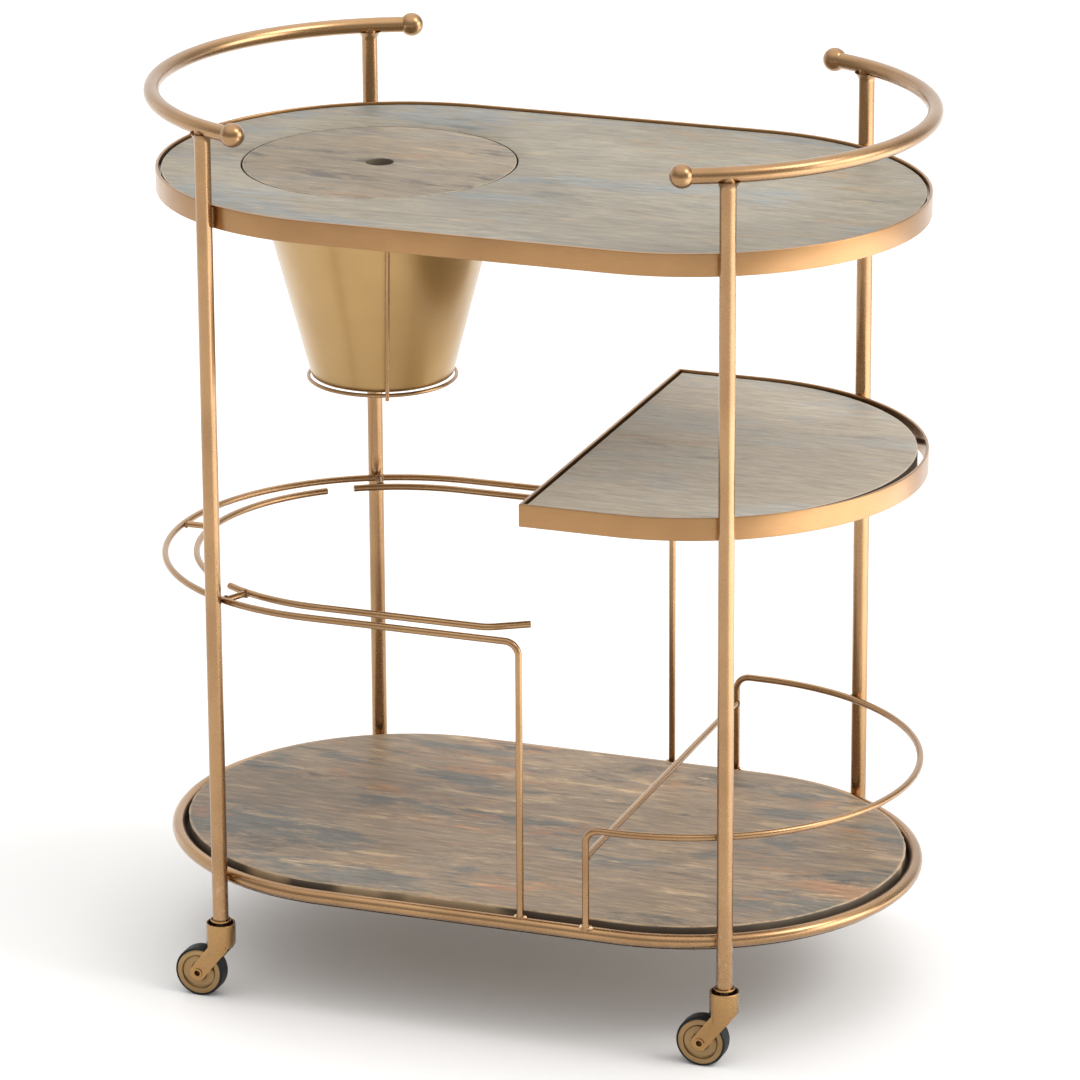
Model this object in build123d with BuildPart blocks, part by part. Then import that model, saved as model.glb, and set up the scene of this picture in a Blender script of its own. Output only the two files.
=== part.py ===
"""Oval bar cart with a drop-in ice bucket, on four swivel casters.

Millimetres, +Z up. X runs along the cart, Y across it, and -Y is the front. The origin is on the floor under the
middle of the oval. Every piece is written to parts/ as a STEP file of its own.
"""
import os
from math import cos, radians, sin

from build123d import *

os.makedirs("parts", exist_ok=True)

# The oval: two half circles joined by straight sides
end_radius = 237.0  # outside of the hoops
half_straight = 156.0  # from the middle to the centre of either half circle

# Posts and handrails
tube_diameter = 16.0
tube_wall = 1.2
post_angle = 62.9  # round the half circle, from the cart's long axis
weld_gap = 0.1  # root gap under the weld beads
post_bottom = 83.5
cart_height = 914.0
handrail_centre_x = 141.6
ball_diameter = 24.0
ball_angle = 69.9

# Hoops and boards
band_thickness = 3.0
band_height = 23.0
band_edge = 0.5  # chamfer
board_thickness = 19.0
board_gap = 2.5
board_drop = 2.4  # from a band's top edge down to the board
top_hoop_top = 827.4
half_shelf_top = 565.0
half_shelf_edge = 63.0
half_shelf_end_gap = 6.0  # extra gap at the round end
bottom_tube_diameter = 14.0
bottom_hoop_z = 126.6
bottom_board_top = 138.0
bottom_board_radius = 220.0
board_edge = 0.6  # chamfer round a board's top
rough_board_edge = 1.2

# Rod work
rod_diameter = 7.0
rod_bend = 14.0
rack_z = 420.6
rack_leg_x = 59.0
rack_end_x = -164.3
rack_outer_radius = 229.5
rack_inner_radius = 197.4
rack_side_rod_angle = 57.0  # from -X round to where the front and back inner rods begin
rack_end_rod_angle = 48.6  # from -X round to either end of the inner rod at the cart's end
rack_spreader_angle = 65.3
rack_tip_straight_x = 14.0
rack_tip_x = 51.0
rack_tip_in = 23.0
gallery_z = 236.6
gallery_leg_x = 129.0
gallery_end_x = 155.7
gallery_radius = 233.4
gallery_bar_drop = 29.0
cross_rod_thinner = 0.2  # a short cross rod's radius is less by this, so that its ends fit the rods they meet

# Ice bucket, lid and cradle
bucket_x = -171.0
bucket_base_z = 606.0
bucket_base_radius = 71.5
bucket_slope = 0.26  # radius gained for each unit of height
bucket_wall = 1.2
flange_thickness = 1.5
flange_radius = 136.5
cutout_radius = 138.4
lid_radius = 137.3
lid_step_radius = 118.5
lid_step = 4.0
finger_hole_radius = 14.0
seat_ring_thickness = 2.0
seat_ring_inner = 126.0
seat_ring_outer = 148.0
cradle_wire = 4.0
cradle_ring_radius = 74.6
cradle_ring_z = 604.0
cradle_wire_radius = 78.3  # of the sloped wires, at the ring
cradle_wire_angles = (-65.0, 115.0)
bucket_base_round = 2.0
loose_gap = 0.3  # between a loose piece and what it rests on

# Fasteners under the boards
tab_length = 22.0
tab_width = 18.0
tab_thickness = 1.5
tab_set_in = 0.3  # from a band
ledge_inner_radius = 205.0  # of the flat ledge under the bottom board
ledge_outer_radius = 229.0
ledge_screw_radius = 216.0
side_tab_x = 90.0
half_tab_y = 120.0
half_tab_angle = 38.0
screw_radius = 2.0
screw_head_radius = 4.0
screw_head_height = 2.2
screw_grip = 12.0
hole_clearance = 0.05

# Casters
wheel_diameter = 51.0
tyre_width = 17.0
wheel_disc_radius = 23.6
caster_trail = 22.0
cup_radius = 14.8
cup_wall = 1.8
cup_top = 79.8
cup_rim_round = 0.7
cup_floor_bottom = 55.0
cup_floor_thickness = 2.5
cup_side_bottom = 48.0
cup_lead_cut = (8.0, 12.0)  # run and rise of the slope that trims the cup's skirt ahead of the legs
cup_trail_cut = (5.0, 6.0)
cut_margin = 1.0
leg_inner_y = 10.2
leg_thickness = 1.8
leg_end_radius = 8.2
leg_slope = 52.0
leg_half_width = 9.6
leg_top = 58.0
leg_back_z = 55.5
leg_front_z = 52.4
pin_radius = 4.0
pin_head_radius = 6.5
pin_head_height = 1.5
pin_shoulder_radius = 8.0
pin_shoulder_height = 2.5
pin_short = 2.0  # from the pin's tip to the top of its bore
running_clearance = 0.05
axle_radius = 4.0
axle_bore = 2.9
rivet_lip = 1.0
rivet_lip_thickness = 0.9
collar_radius = 10.4
collar_height = 2.6
socket_depth = 24.0
hub_radius = 8.5
hub_half_width = 9.4
web_half_width = 6.0
web_radii = (9.5, 16.5)
rim_inner_radius = 17.8
rim_proud = 0.3  # of the tyre's side
rim_lip = 0.6
groove_depth = 1.0
groove_shoulder = 1.2
tyre_lip = 0.4
tread_round = (0.9, 1.4)

tube_radius = tube_diameter / 2
rod_radius = rod_diameter / 2
cross_rod_radius = rod_radius - cross_rod_thinner
bottom_tube_radius = bottom_tube_diameter / 2
handrail_z = cart_height - tube_radius
post_offset = end_radius + tube_radius + weld_gap
post_x = half_straight + post_offset * cos(radians(post_angle))
post_y = post_offset * sin(radians(post_angle))
handrail_radius = ((post_x - handrail_centre_x) ** 2 + post_y**2) ** 0.5
top_board_top = top_hoop_top - board_drop
top_board_bottom = top_board_top - board_thickness
half_board_top = half_shelf_top - board_drop
half_board_bottom = half_board_top - board_thickness
bottom_board_bottom = bottom_board_top - board_thickness
bottom_hoop_radius = end_radius - bottom_tube_radius
board_radius = end_radius - band_thickness - board_gap

# The four corners, each with its signs along X and Y
corners = {"front_left": (-1, -1), "front_right": (1, -1), "back_left": (-1, 1), "back_right": (1, 1)}


def save(part, name):
    """Label a finished piece and write it as parts/NAME.step."""
    part.label = name
    export_step(part, f"parts/{name}.step")


def stadium_path(radius, z):
    """The closed centreline of an oval hoop, as a wire."""
    with BuildLine() as line:
        Line((-half_straight, -radius, z), (half_straight, -radius, z))
        ThreePointArc((half_straight, -radius, z), (half_straight + radius, 0, z), (half_straight, radius, z))
        Line((half_straight, radius, z), (-half_straight, radius, z))
        ThreePointArc((-half_straight, radius, z), (-half_straight - radius, 0, z), (-half_straight, -radius, z))
    return line.wires()[0]


def across(path, position=0):
    """The plane square to a wire at a position along it."""
    return Plane(origin=path @ position, z_dir=path % position)


def round_bar(path, radius):
    """A solid round bar along a wire."""
    with BuildPart() as bar:
        with BuildSketch(across(path)):
            Circle(radius)
        sweep(path=path)
    return bar.part


def legged_rail(leg_x, end_x, radius, rail_z, side):
    """The centreline of a rail round one end of the cart, bent down at both ends into legs."""
    foot_z = bottom_hoop_z
    end_mid_x = end_x + side * radius
    with BuildLine() as line:
        FilletPolyline((leg_x, -radius, foot_z), (leg_x, -radius, rail_z), (end_x, -radius, rail_z), radius=rod_bend)
        ThreePointArc((end_x, -radius, rail_z), (end_mid_x, 0, rail_z), (end_x, radius, rail_z))
        FilletPolyline((end_x, radius, rail_z), (leg_x, radius, rail_z), (leg_x, radius, foot_z), radius=rod_bend)
    return line.wires()[0]


def on_arc(centre_x, radius, angle, z):
    """A point on a level circle centred on the cart's long axis, its angle measured from +X."""
    return (centre_x + radius * cos(radians(angle)), radius * sin(radians(angle)), z)


def level_arc(centre_x, radius, start, end, z):
    """A level arc between two angles, as a wire."""
    with BuildLine() as line:
        ThreePointArc(
            on_arc(centre_x, radius, start, z),
            on_arc(centre_x, radius, (start + end) / 2, z),
            on_arc(centre_x, radius, end, z),
        )
    return line.wires()[0]


# Bottom hoop, a closed ring of round tube. Its outside also shapes the feet of the legs that stand on it.
with BuildPart() as hoop_outside:
    hoop_path = stadium_path(bottom_hoop_radius, bottom_hoop_z)
    with BuildSketch(across(hoop_path)):
        Circle(bottom_tube_radius)
    sweep(path=hoop_path)

with BuildPart() as bottom_hoop:
    with BuildSketch(across(hoop_path)):
        Circle(bottom_tube_radius)
        Circle(bottom_tube_radius - tube_wall, mode=Mode.SUBTRACT)
    sweep(path=hoop_path)
save(bottom_hoop.part, "bottom_hoop")

# Handrails: an arc of tube over two posts, with a ball on each end
handrail_outsides = {}
for side, sign in (("left", -1), ("right", 1)):
    middle_angle = 90 - 90 * sign
    rail_path = level_arc(
        sign * handrail_centre_x, handrail_radius, middle_angle - ball_angle, middle_angle + ball_angle, handrail_z
    )
    with BuildPart() as handrail_outside:
        with BuildSketch(across(rail_path)):
            Circle(tube_radius)
        sweep(path=rail_path)
    handrail_outsides[side] = handrail_outside.part

    with BuildPart() as handrail:
        with BuildSketch(across(rail_path)):
            Circle(tube_radius)
            Circle(tube_radius - tube_wall, mode=Mode.SUBTRACT)
        sweep(path=rail_path)
        for end in (0, 1):
            with Locations(rail_path @ end):
                Sphere(ball_diameter / 2, mode=Mode.SUBTRACT)
    save(handrail.part, f"handrail_{side}")

    # The balls, each centred on the end of the tube
    for end in (0, 1):
        centre = rail_path @ end
        row = "front" if centre.Y < 0 else "back"
        with BuildPart() as rail_ball:
            with Locations(centre):
                Sphere(ball_diameter / 2)
        save(rail_ball.part, f"rail_ball_{row}_{side}")

# Posts, their tops shaped to the underside of the handrails
for corner, (sx, sy) in corners.items():
    with BuildPart() as post:
        with BuildSketch(Plane.XY.offset(post_bottom)):
            with Locations((sx * post_x, sy * post_y)):
                Circle(tube_radius)
                Circle(tube_radius - tube_wall, mode=Mode.SUBTRACT)
        extrude(amount=handrail_z - post_bottom)
        add(handrail_outsides["left" if sx < 0 else "right"], mode=Mode.SUBTRACT)
    upright = post.part.solids().sort_by(Axis.Z)[0]
    save(Part(upright.wrapped), f"post_{corner}")

# Top hoop: a flat band on edge
with BuildPart() as top_hoop:
    with BuildSketch(Plane.XY.offset(top_hoop_top - band_height)):
        SlotCenterToCenter(2 * half_straight, 2 * end_radius)
        SlotCenterToCenter(2 * half_straight, 2 * (end_radius - band_thickness), mode=Mode.SUBTRACT)
    extrude(amount=band_height)
    chamfer(top_hoop.edges().filter_by(Plane.XY), band_edge)
save(top_hoop.part, "top_hoop")

# Half shelf hoop: a D of the same band, its straight side across the cart
with BuildPart() as half_shelf_hoop:
    with BuildSketch(Plane.XY.offset(half_shelf_top - band_height)) as d_outline:
        SlotCenterToCenter(2 * half_straight, 2 * end_radius)
        split(bisect_by=Plane.YZ.offset(half_shelf_edge), keep=Keep.TOP)
        offset(amount=-band_thickness, kind=Kind.INTERSECTION, mode=Mode.SUBTRACT)
    extrude(amount=band_height)
    chamfer(half_shelf_hoop.edges().filter_by(Plane.XY), band_edge)
save(half_shelf_hoop.part, "half_shelf_hoop")

# Board support tabs: (centre x, centre y, turn about Z), the tab's length pointing away from the hoop
tab_reach = end_radius - band_thickness - tab_set_in - tab_length / 2
top_tabs = [(sx * side_tab_x, sy * tab_reach, 90.0) for sx in (-1, 1) for sy in (-1, 1)]
top_tabs += [(sx * (half_straight + tab_reach), 0.0, 0.0) for sx in (-1, 1)]
edge_tab_x = half_shelf_edge + band_thickness + tab_set_in + tab_length / 2
half_tabs = [(edge_tab_x, y, 0.0) for y in (-half_tab_y, half_tab_y)]
half_tabs += [
    (half_straight + tab_reach * cos(radians(a)), tab_reach * sin(radians(a)), a)
    for a in (-half_tab_angle, 0.0, half_tab_angle)
]

# Screws up through the ledge under the bottom board: (centre x, centre y)
ledge_screws = [(sx * side_tab_x, sy * ledge_screw_radius) for sx in (-1, 1) for sy in (-1, 1)]
ledge_screws += [(sx * (half_straight + ledge_screw_radius), 0.0) for sx in (-1, 1)]


def tab_set(name, places, board_bottom):
    """Write one board's support tabs."""
    with BuildPart() as tabs:
        for x, y, turn in places:
            with BuildSketch(Plane.XY.offset(board_bottom - tab_thickness)):
                with Locations(Location((x, y, 0), (0, 0, turn))):
                    Rectangle(tab_length, tab_width)
                    Circle(screw_radius + hole_clearance, mode=Mode.SUBTRACT)
            extrude(amount=tab_thickness)
    save(tabs.part, f"{name}_tabs")


def screw_set(name, places, board_bottom):
    """Write the screws that hold one board down on its tabs or ledge."""
    with BuildPart() as screws:
        for x, y, *_ in places:
            with BuildSketch(Plane.XY.offset(board_bottom - tab_thickness - screw_head_height)):
                with Locations((x, y)):
                    Circle(screw_head_radius)
            extrude(amount=screw_head_height)
            with BuildSketch(Plane.XY.offset(board_bottom - tab_thickness)):
                with Locations((x, y)):
                    Circle(screw_radius)
            extrude(amount=screw_grip)
    save(screws.part, f"{name}_screws")


tab_set("top_board", top_tabs, top_board_bottom)
tab_set("half_board", half_tabs, half_board_bottom)
screw_set("top_board", top_tabs, top_board_bottom)
screw_set("half_board", half_tabs, half_board_bottom)
screw_set("bottom_board", ledge_screws, bottom_board_bottom)

# Bottom ledge: a flat ring under the tube and the bottom board's rim, which closes the gap between them
with BuildPart() as bottom_ledge:
    with BuildSketch(Plane.XY.offset(bottom_board_bottom - tab_thickness)):
        SlotCenterToCenter(2 * half_straight, 2 * ledge_outer_radius)
        SlotCenterToCenter(2 * half_straight, 2 * ledge_inner_radius, mode=Mode.SUBTRACT)
        with Locations(*ledge_screws):
            Circle(screw_radius + hole_clearance, mode=Mode.SUBTRACT)
    extrude(amount=tab_thickness)
save(bottom_ledge.part, "bottom_ledge")

# The screws' pilot holes, bored up into each board from its underside
pilot_radius = screw_radius + hole_clearance
pilot_depth = screw_grip - tab_thickness
from_below = (Align.CENTER, Align.CENTER, Align.MIN)

# Top board, with the round cut-out for the bucket and its lid
with BuildPart() as top_board:
    with BuildSketch(Plane.XY.offset(top_board_bottom)):
        SlotCenterToCenter(2 * half_straight, 2 * board_radius)
        with Locations((bucket_x, 0)):
            Circle(cutout_radius, mode=Mode.SUBTRACT)
    extrude(amount=board_thickness)
    chamfer(top_board.faces().sort_by(Axis.Z)[-1].edges(), board_edge)
    with Locations([(x, y, top_board_bottom) for x, y, _ in top_tabs]):
        Cylinder(pilot_radius, pilot_depth, align=from_below, mode=Mode.SUBTRACT)
save(top_board.part, "top_board")

# Half shelf board, lying loosely inside its D
with BuildPart() as half_shelf_board:
    with BuildSketch(Plane.XY.offset(half_board_bottom)):
        SlotCenterToCenter(2 * (half_straight - half_shelf_end_gap), 2 * board_radius)
        split(bisect_by=Plane.YZ.offset(half_shelf_edge + band_thickness + board_gap), keep=Keep.TOP)
    extrude(amount=board_thickness)
    chamfer(half_shelf_board.faces().sort_by(Axis.Z)[-1].edges(), board_edge)
    with Locations([(x, y, half_board_bottom) for x, y, _ in half_tabs]):
        Cylinder(pilot_radius, pilot_depth, align=from_below, mode=Mode.SUBTRACT)
save(half_shelf_board.part, "half_shelf_board")

# Bottom board, standing a little above its tube
with BuildPart() as bottom_board:
    with BuildSketch(Plane.XY.offset(bottom_board_bottom)):
        SlotCenterToCenter(2 * half_straight, 2 * bottom_board_radius)
    extrude(amount=board_thickness)
    chamfer(bottom_board.faces().sort_by(Axis.Z)[-1].edges(), rough_board_edge)
    with Locations([(x, y, bottom_board_bottom) for x, y in ledge_screws]):
        Cylinder(pilot_radius, pilot_depth, align=from_below, mode=Mode.SUBTRACT)
save(bottom_board.part, "bottom_board")

# Stem rack, outer rod: round the left end and down to the bottom hoop, front and back
rack_outer_path = legged_rail(rack_leg_x, rack_end_x, rack_outer_radius, rack_z, -1)
with BuildPart() as rack_outer_rod:
    with BuildSketch(across(rack_outer_path)):
        Circle(rod_radius)
    sweep(path=rack_outer_path)
    add(hoop_outside.part, mode=Mode.SUBTRACT)
outer_rod = rack_outer_rod.part.solids().sort_by(SortBy.VOLUME)[-1]
save(Part(outer_rod.wrapped), "rack_outer_rod")

# Stem rack, inner rods: a front and a back rod with flared tips, and a short one round the end between them
rack_inner_rods = {}
for row, sy in (("front", -1), ("back", 1)):
    arc_start = 180 - sy * rack_side_rod_angle
    arc_end = 180 - sy * 90
    with BuildLine() as inner_line:
        ThreePointArc(
            on_arc(rack_end_x, rack_inner_radius, arc_start, rack_z),
            on_arc(rack_end_x, rack_inner_radius, (arc_start + arc_end) / 2, rack_z),
            on_arc(rack_end_x, rack_inner_radius, arc_end, rack_z),
        )
        FilletPolyline(
            (rack_end_x, sy * rack_inner_radius, rack_z),
            (rack_tip_straight_x, sy * rack_inner_radius, rack_z),
            (rack_tip_x, sy * (rack_inner_radius - rack_tip_in), rack_z),
            radius=2 * rod_bend,
        )
    rack_inner_rods[row] = round_bar(inner_line.wires()[0], rod_radius)
    save(rack_inner_rods[row], f"rack_inner_rod_{row}")

end_path = level_arc(
    rack_end_x, rack_inner_radius, 180 - rack_end_rod_angle, 180 + rack_end_rod_angle, rack_z
)
rack_inner_rods["end"] = round_bar(end_path, rod_radius)
save(rack_inner_rods["end"], "rack_inner_rod_end")

# Stem rack, spreaders: short rods between the outer and inner rods, their ends shaped to both
with BuildPart() as rack_spreaders:
    for angle in (180 - rack_spreader_angle, 180.0, 180 + rack_spreader_angle):
        inner_end = Vector(*on_arc(rack_end_x, rack_inner_radius, angle, rack_z))
        outer_end = Vector(*on_arc(rack_end_x, rack_outer_radius, angle, rack_z))
        with BuildSketch(Plane(origin=inner_end, z_dir=outer_end - inner_end)):
            Circle(cross_rod_radius)
        extrude(amount=(outer_end - inner_end).length)
    add(outer_rod, mode=Mode.SUBTRACT)
    for rod in rack_inner_rods.values():
        add(rod, mode=Mode.SUBTRACT)
spreaders = rack_spreaders.part.solids().sort_by(SortBy.VOLUME)[-3:]
save(Compound(children=spreaders), "rack_spreaders")

# Bottle gallery: a rail on two legs round the right end, with a straight bar across between the legs
gallery_path = legged_rail(gallery_leg_x, gallery_end_x, gallery_radius, gallery_z, 1)
with BuildPart() as gallery_rail:
    with BuildSketch(across(gallery_path)):
        Circle(rod_radius)
    sweep(path=gallery_path)
    add(hoop_outside.part, mode=Mode.SUBTRACT)
gallery_rod = gallery_rail.part.solids().sort_by(SortBy.VOLUME)[-1]
save(Part(gallery_rod.wrapped), "gallery_rail")

with BuildPart() as gallery_bar:
    with BuildSketch(Plane(origin=(gallery_leg_x, -gallery_radius, gallery_z - gallery_bar_drop), z_dir=(0, 1, 0))):
        Circle(cross_rod_radius)
    extrude(amount=2 * gallery_radius)
    add(gallery_rod, mode=Mode.SUBTRACT)
cross_bar = gallery_bar.part.solids().sort_by(SortBy.VOLUME)[-1]
save(Part(cross_bar.wrapped), "gallery_cross_bar")

# Seat ring: a flat ring under the top board that the bucket's flange hangs on
with BuildPart() as seat_ring:
    with BuildSketch(Plane.XY.offset(top_board_bottom - seat_ring_thickness)):
        with Locations((bucket_x, 0)):
            Circle(seat_ring_outer)
            Circle(seat_ring_inner, mode=Mode.SUBTRACT)
    extrude(amount=seat_ring_thickness)
save(seat_ring.part, "seat_ring")

# Cradle ring: wire round the foot of the bucket
with BuildPart() as cradle_ring:
    with Locations((bucket_x, 0, cradle_ring_z)):
        Torus(cradle_ring_radius, cradle_wire / 2)
save(cradle_ring.part, "cradle_ring")

# Cradle wires: from just below the ring up along the bucket to the seat ring
seat_underside = top_board_bottom - seat_ring_thickness
wire_foot_z = cradle_ring_z - cradle_wire
with BuildPart() as cradle_wires:
    for angle in cradle_wire_angles:
        c, s = cos(radians(angle)), sin(radians(angle))
        r_foot = cradle_wire_radius + bucket_slope * (wire_foot_z - cradle_ring_z)
        r_head = cradle_wire_radius + bucket_slope * (seat_underside + cradle_wire - cradle_ring_z)
        foot = Vector(bucket_x + r_foot * c, r_foot * s, wire_foot_z)
        head = Vector(bucket_x + r_head * c, r_head * s, seat_underside + cradle_wire)
        with BuildSketch(Plane(origin=foot, z_dir=head - foot)):
            Circle(cradle_wire / 2)
        extrude(amount=(head - foot).length)
    split(bisect_by=Plane.XY.offset(seat_underside), keep=Keep.BOTTOM)
    add(cradle_ring.part, mode=Mode.SUBTRACT)
save(cradle_wires.part, "cradle_wires")

# Ice bucket: a tapered shell with a flat flange
flange_bottom = top_board_bottom + loose_gap
flange_top = flange_bottom + flange_thickness
rim_radius = bucket_base_radius + bucket_slope * (flange_top - bucket_base_z)
with BuildPart() as ice_bucket:
    with BuildSketch(Plane.XZ):
        with BuildLine():
            Polyline(
                (0, bucket_base_z),
                (bucket_base_radius, bucket_base_z),
                (rim_radius - bucket_slope * flange_thickness, flange_bottom),
                (flange_radius, flange_bottom),
                (flange_radius, flange_top),
                (rim_radius - bucket_wall, flange_top),
                (bucket_base_radius - bucket_wall + bucket_slope * bucket_wall, bucket_base_z + bucket_wall),
                (0, bucket_base_z + bucket_wall),
                close=True,
            )
        make_face()
    revolve(axis=Axis.Z)
    fillet(ice_bucket.edges().group_by(Axis.Z)[0], bucket_base_round)
ice_bucket.part.locate(Location((bucket_x, 0, 0)))
save(ice_bucket.part, "ice_bucket")

# Lid: a wooden disc flush with the board, with a step that centres it in the bucket's mouth
lid_bottom = flange_top + loose_gap
with BuildPart() as lid:
    with BuildSketch(Plane.XY.offset(lid_bottom)):
        with Locations((bucket_x, 0)):
            Circle(lid_radius)
    extrude(amount=top_board_top - lid_bottom)
    chamfer(lid.faces().sort_by(Axis.Z)[-1].edges(), board_edge)
    with BuildSketch(Plane.XY.offset(lid_bottom - lid_step)):
        with Locations((bucket_x, 0)):
            Circle(lid_step_radius)
    extrude(amount=lid_step)
    with BuildSketch(Plane.XY.offset(top_board_top)):
        with Locations((bucket_x, 0)):
            Circle(finger_hole_radius)
    extrude(amount=-(top_board_top - lid_bottom + lid_step), mode=Mode.SUBTRACT)
save(lid.part, "lid")

# Casters, all four trailing the same way
wheel_radius = wheel_diameter / 2
wheel_z = wheel_radius
tyre_half_width = tyre_width / 2
plug_radius = tube_radius - tube_wall - hole_clearance
pin_shoulder_bottom = cup_floor_bottom + cup_floor_thickness + loose_gap
pin_head_top = cup_floor_bottom - loose_gap
axle_half = leg_inner_y + leg_thickness
leg_c, leg_s = leg_end_radius * cos(radians(leg_slope)), leg_end_radius * sin(radians(leg_slope))

# Half sections of the disc and the tyre, as (radius, distance from the wheel's middle plane), from the hub outwards
disc_half = [
    (axle_radius + running_clearance, hub_half_width),
    (hub_radius, hub_half_width),
    (web_radii[0], web_half_width),
    (web_radii[1], web_half_width),
    (rim_inner_radius, tyre_half_width + rim_proud),
    (wheel_disc_radius - rim_lip, tyre_half_width + rim_proud),
    (wheel_disc_radius, tyre_half_width - tyre_lip),
    (wheel_disc_radius - groove_depth, tyre_half_width - groove_shoulder),
]
tyre_half = [
    (wheel_disc_radius - groove_depth, tyre_half_width - groove_shoulder),
    (wheel_disc_radius + running_clearance, tyre_half_width - tyre_lip),
    (wheel_disc_radius + tyre_lip, tyre_half_width),
    (wheel_radius - tread_round[0], tyre_half_width),
    (wheel_radius, tyre_half_width - tread_round[1]),
]


def turned_on_axle(half_section, x, y):
    """A wheel part turned about its axle, the same on both sides of the wheel's middle plane."""
    section = [(x + r, y - w) for r, w in half_section] + [(x + r, y + w) for r, w in reversed(half_section)]
    with BuildPart() as turned:
        with BuildSketch(Plane.XY.offset(wheel_z)):
            with BuildLine():
                Polyline(*section, close=True)
            make_face()
        revolve(axis=Axis((x, y, wheel_z), (0, 1, 0)))
    return turned.part


for corner, (sx, sy) in corners.items():
    px, py = sx * post_x, sy * post_y
    axle_x = px - caster_trail
    cup_back_x, cup_front_x = px - cup_radius - cut_margin, px + cup_radius + cut_margin

    # Socket: a plug up inside the post, its collar against the post's end, with a bore for the pin
    with BuildPart() as socket:
        with BuildSketch(Plane.XY.offset(post_bottom - collar_height)):
            with Locations((px, py)):
                Circle(collar_radius)
        extrude(amount=collar_height)
        with BuildSketch(Plane.XY.offset(post_bottom)):
            with Locations((px, py)):
                Circle(plug_radius)
        extrude(amount=socket_depth)
        with BuildSketch(Plane.XY.offset(post_bottom - collar_height)):
            with Locations((px, py)):
                Circle(pin_radius + hole_clearance)
        extrude(amount=collar_height + socket_depth, mode=Mode.SUBTRACT)
    save(socket.part, f"socket_{corner}")

    # Swivel pin: pressed into the socket, through the cup's floor, with a shoulder above it and a head below
    with BuildPart() as swivel_pin:
        with BuildSketch(Plane.XY.offset(pin_head_top - pin_head_height)):
            with Locations((px, py)):
                Circle(pin_head_radius)
        extrude(amount=pin_head_height)
        with BuildSketch(Plane.XY.offset(pin_head_top)):
            with Locations((px, py)):
                Circle(pin_radius)
        extrude(amount=post_bottom + socket_depth - pin_short - pin_head_top)
        with BuildSketch(Plane.XY.offset(pin_shoulder_bottom)):
            with Locations((px, py)):
                Circle(pin_shoulder_radius)
        extrude(amount=pin_shoulder_height)
    save(swivel_pin.part, f"swivel_pin_{corner}")

    # Housing: a cup whose sides run down into two flat legs, one each side of the wheel
    with BuildPart() as housing:
        with BuildSketch(Plane.XY.offset(cup_side_bottom)):
            with Locations((px, py)):
                Circle(cup_radius)
        extrude(amount=cup_top - cup_side_bottom)
        with BuildSketch(Plane.XY.offset(cup_floor_bottom + cup_floor_thickness)):
            with Locations((px, py)):
                Circle(cup_radius - cup_wall)
        extrude(amount=cup_top - cup_floor_bottom - cup_floor_thickness, mode=Mode.SUBTRACT)
        fillet(housing.edges().group_by(Axis.Z)[-1], cup_rim_round)
        with BuildSketch(Plane.XY.offset(cup_side_bottom)):
            with Locations((px, py)):
                Circle(cup_radius - cup_wall)
                Rectangle(2 * cup_radius, 2 * leg_inner_y)
        extrude(amount=cup_floor_bottom - cup_side_bottom, mode=Mode.SUBTRACT)
        with BuildSketch(Plane.XZ.offset(-py)):
            with BuildLine():
                Polyline(
                    (cup_back_x, cup_side_bottom - cut_margin),
                    (cup_front_x, cup_side_bottom - cut_margin),
                    (cup_front_x, cup_side_bottom + cup_lead_cut[1]),
                    (cup_front_x - cut_margin - cup_lead_cut[0], cup_side_bottom),
                    (cup_back_x + cup_trail_cut[0], cup_side_bottom),
                    (cup_back_x, cup_side_bottom + cup_trail_cut[1]),
                    close=True,
                )
            make_face()
        extrude(amount=cup_radius + cut_margin, both=True, mode=Mode.SUBTRACT)
        with BuildSketch(Plane.XY.offset(cup_floor_bottom)):
            with Locations((px, py)):
                Circle(pin_radius + running_clearance)
        extrude(amount=cup_floor_thickness, mode=Mode.SUBTRACT)
        for leg_y in (py - leg_inner_y - leg_thickness, py + leg_inner_y):
            with BuildSketch(Plane.XZ.offset(-leg_y)):
                with Locations((axle_x, wheel_z)):
                    Circle(leg_end_radius)
                with BuildLine():
                    Polyline(
                        (axle_x - leg_s, wheel_z + leg_c),
                        (px - leg_half_width, leg_back_z),
                        (px - leg_half_width, leg_top),
                        (px + leg_half_width, leg_top),
                        (px + leg_half_width, leg_front_z),
                        (axle_x + leg_s, wheel_z - leg_c),
                        close=True,
                    )
                make_face()
                with Locations((axle_x, wheel_z)):
                    Circle(axle_radius + hole_clearance, mode=Mode.SUBTRACT)
            extrude(amount=-leg_thickness)
    save(housing.part, f"housing_{corner}")

    # Axle: a hollow rivet through both legs, its ends rolled over
    with BuildPart() as axle:
        with BuildSketch(Plane.XZ.offset(-py + axle_half)):
            with Locations((axle_x, wheel_z)):
                Circle(axle_radius)
                Circle(axle_bore, mode=Mode.SUBTRACT)
        extrude(amount=-2 * axle_half)
        for end in (axle_half, -axle_half - rivet_lip_thickness):
            with BuildSketch(Plane.XZ.offset(-py + end)):
                with Locations((axle_x, wheel_z)):
                    Circle(axle_radius + rivet_lip)
                    Circle(axle_bore, mode=Mode.SUBTRACT)
            extrude(amount=rivet_lip_thickness)
    save(axle.part, f"axle_{corner}")

    # Wheel disc: a hub, a dished web and a raised rim. Tyre: a rubber band in the rim's groove.
    save(turned_on_axle(disc_half, axle_x, py), f"wheel_{corner}")
    save(turned_on_axle(tyre_half, axle_x, py), f"tyre_{corner}")
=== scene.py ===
"""Oval bar cart with a drop-in ice bucket: the looks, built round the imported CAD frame.

Each sub-assembly is a class. It takes its sizes and places from the frame's boxes, builds its meshes at the
origin in metres, and dresses them in one of the finishes.
"""

import logging
import math
from collections.abc import Callable, Sequence
from dataclasses import dataclass, field
from enum import Enum

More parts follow.
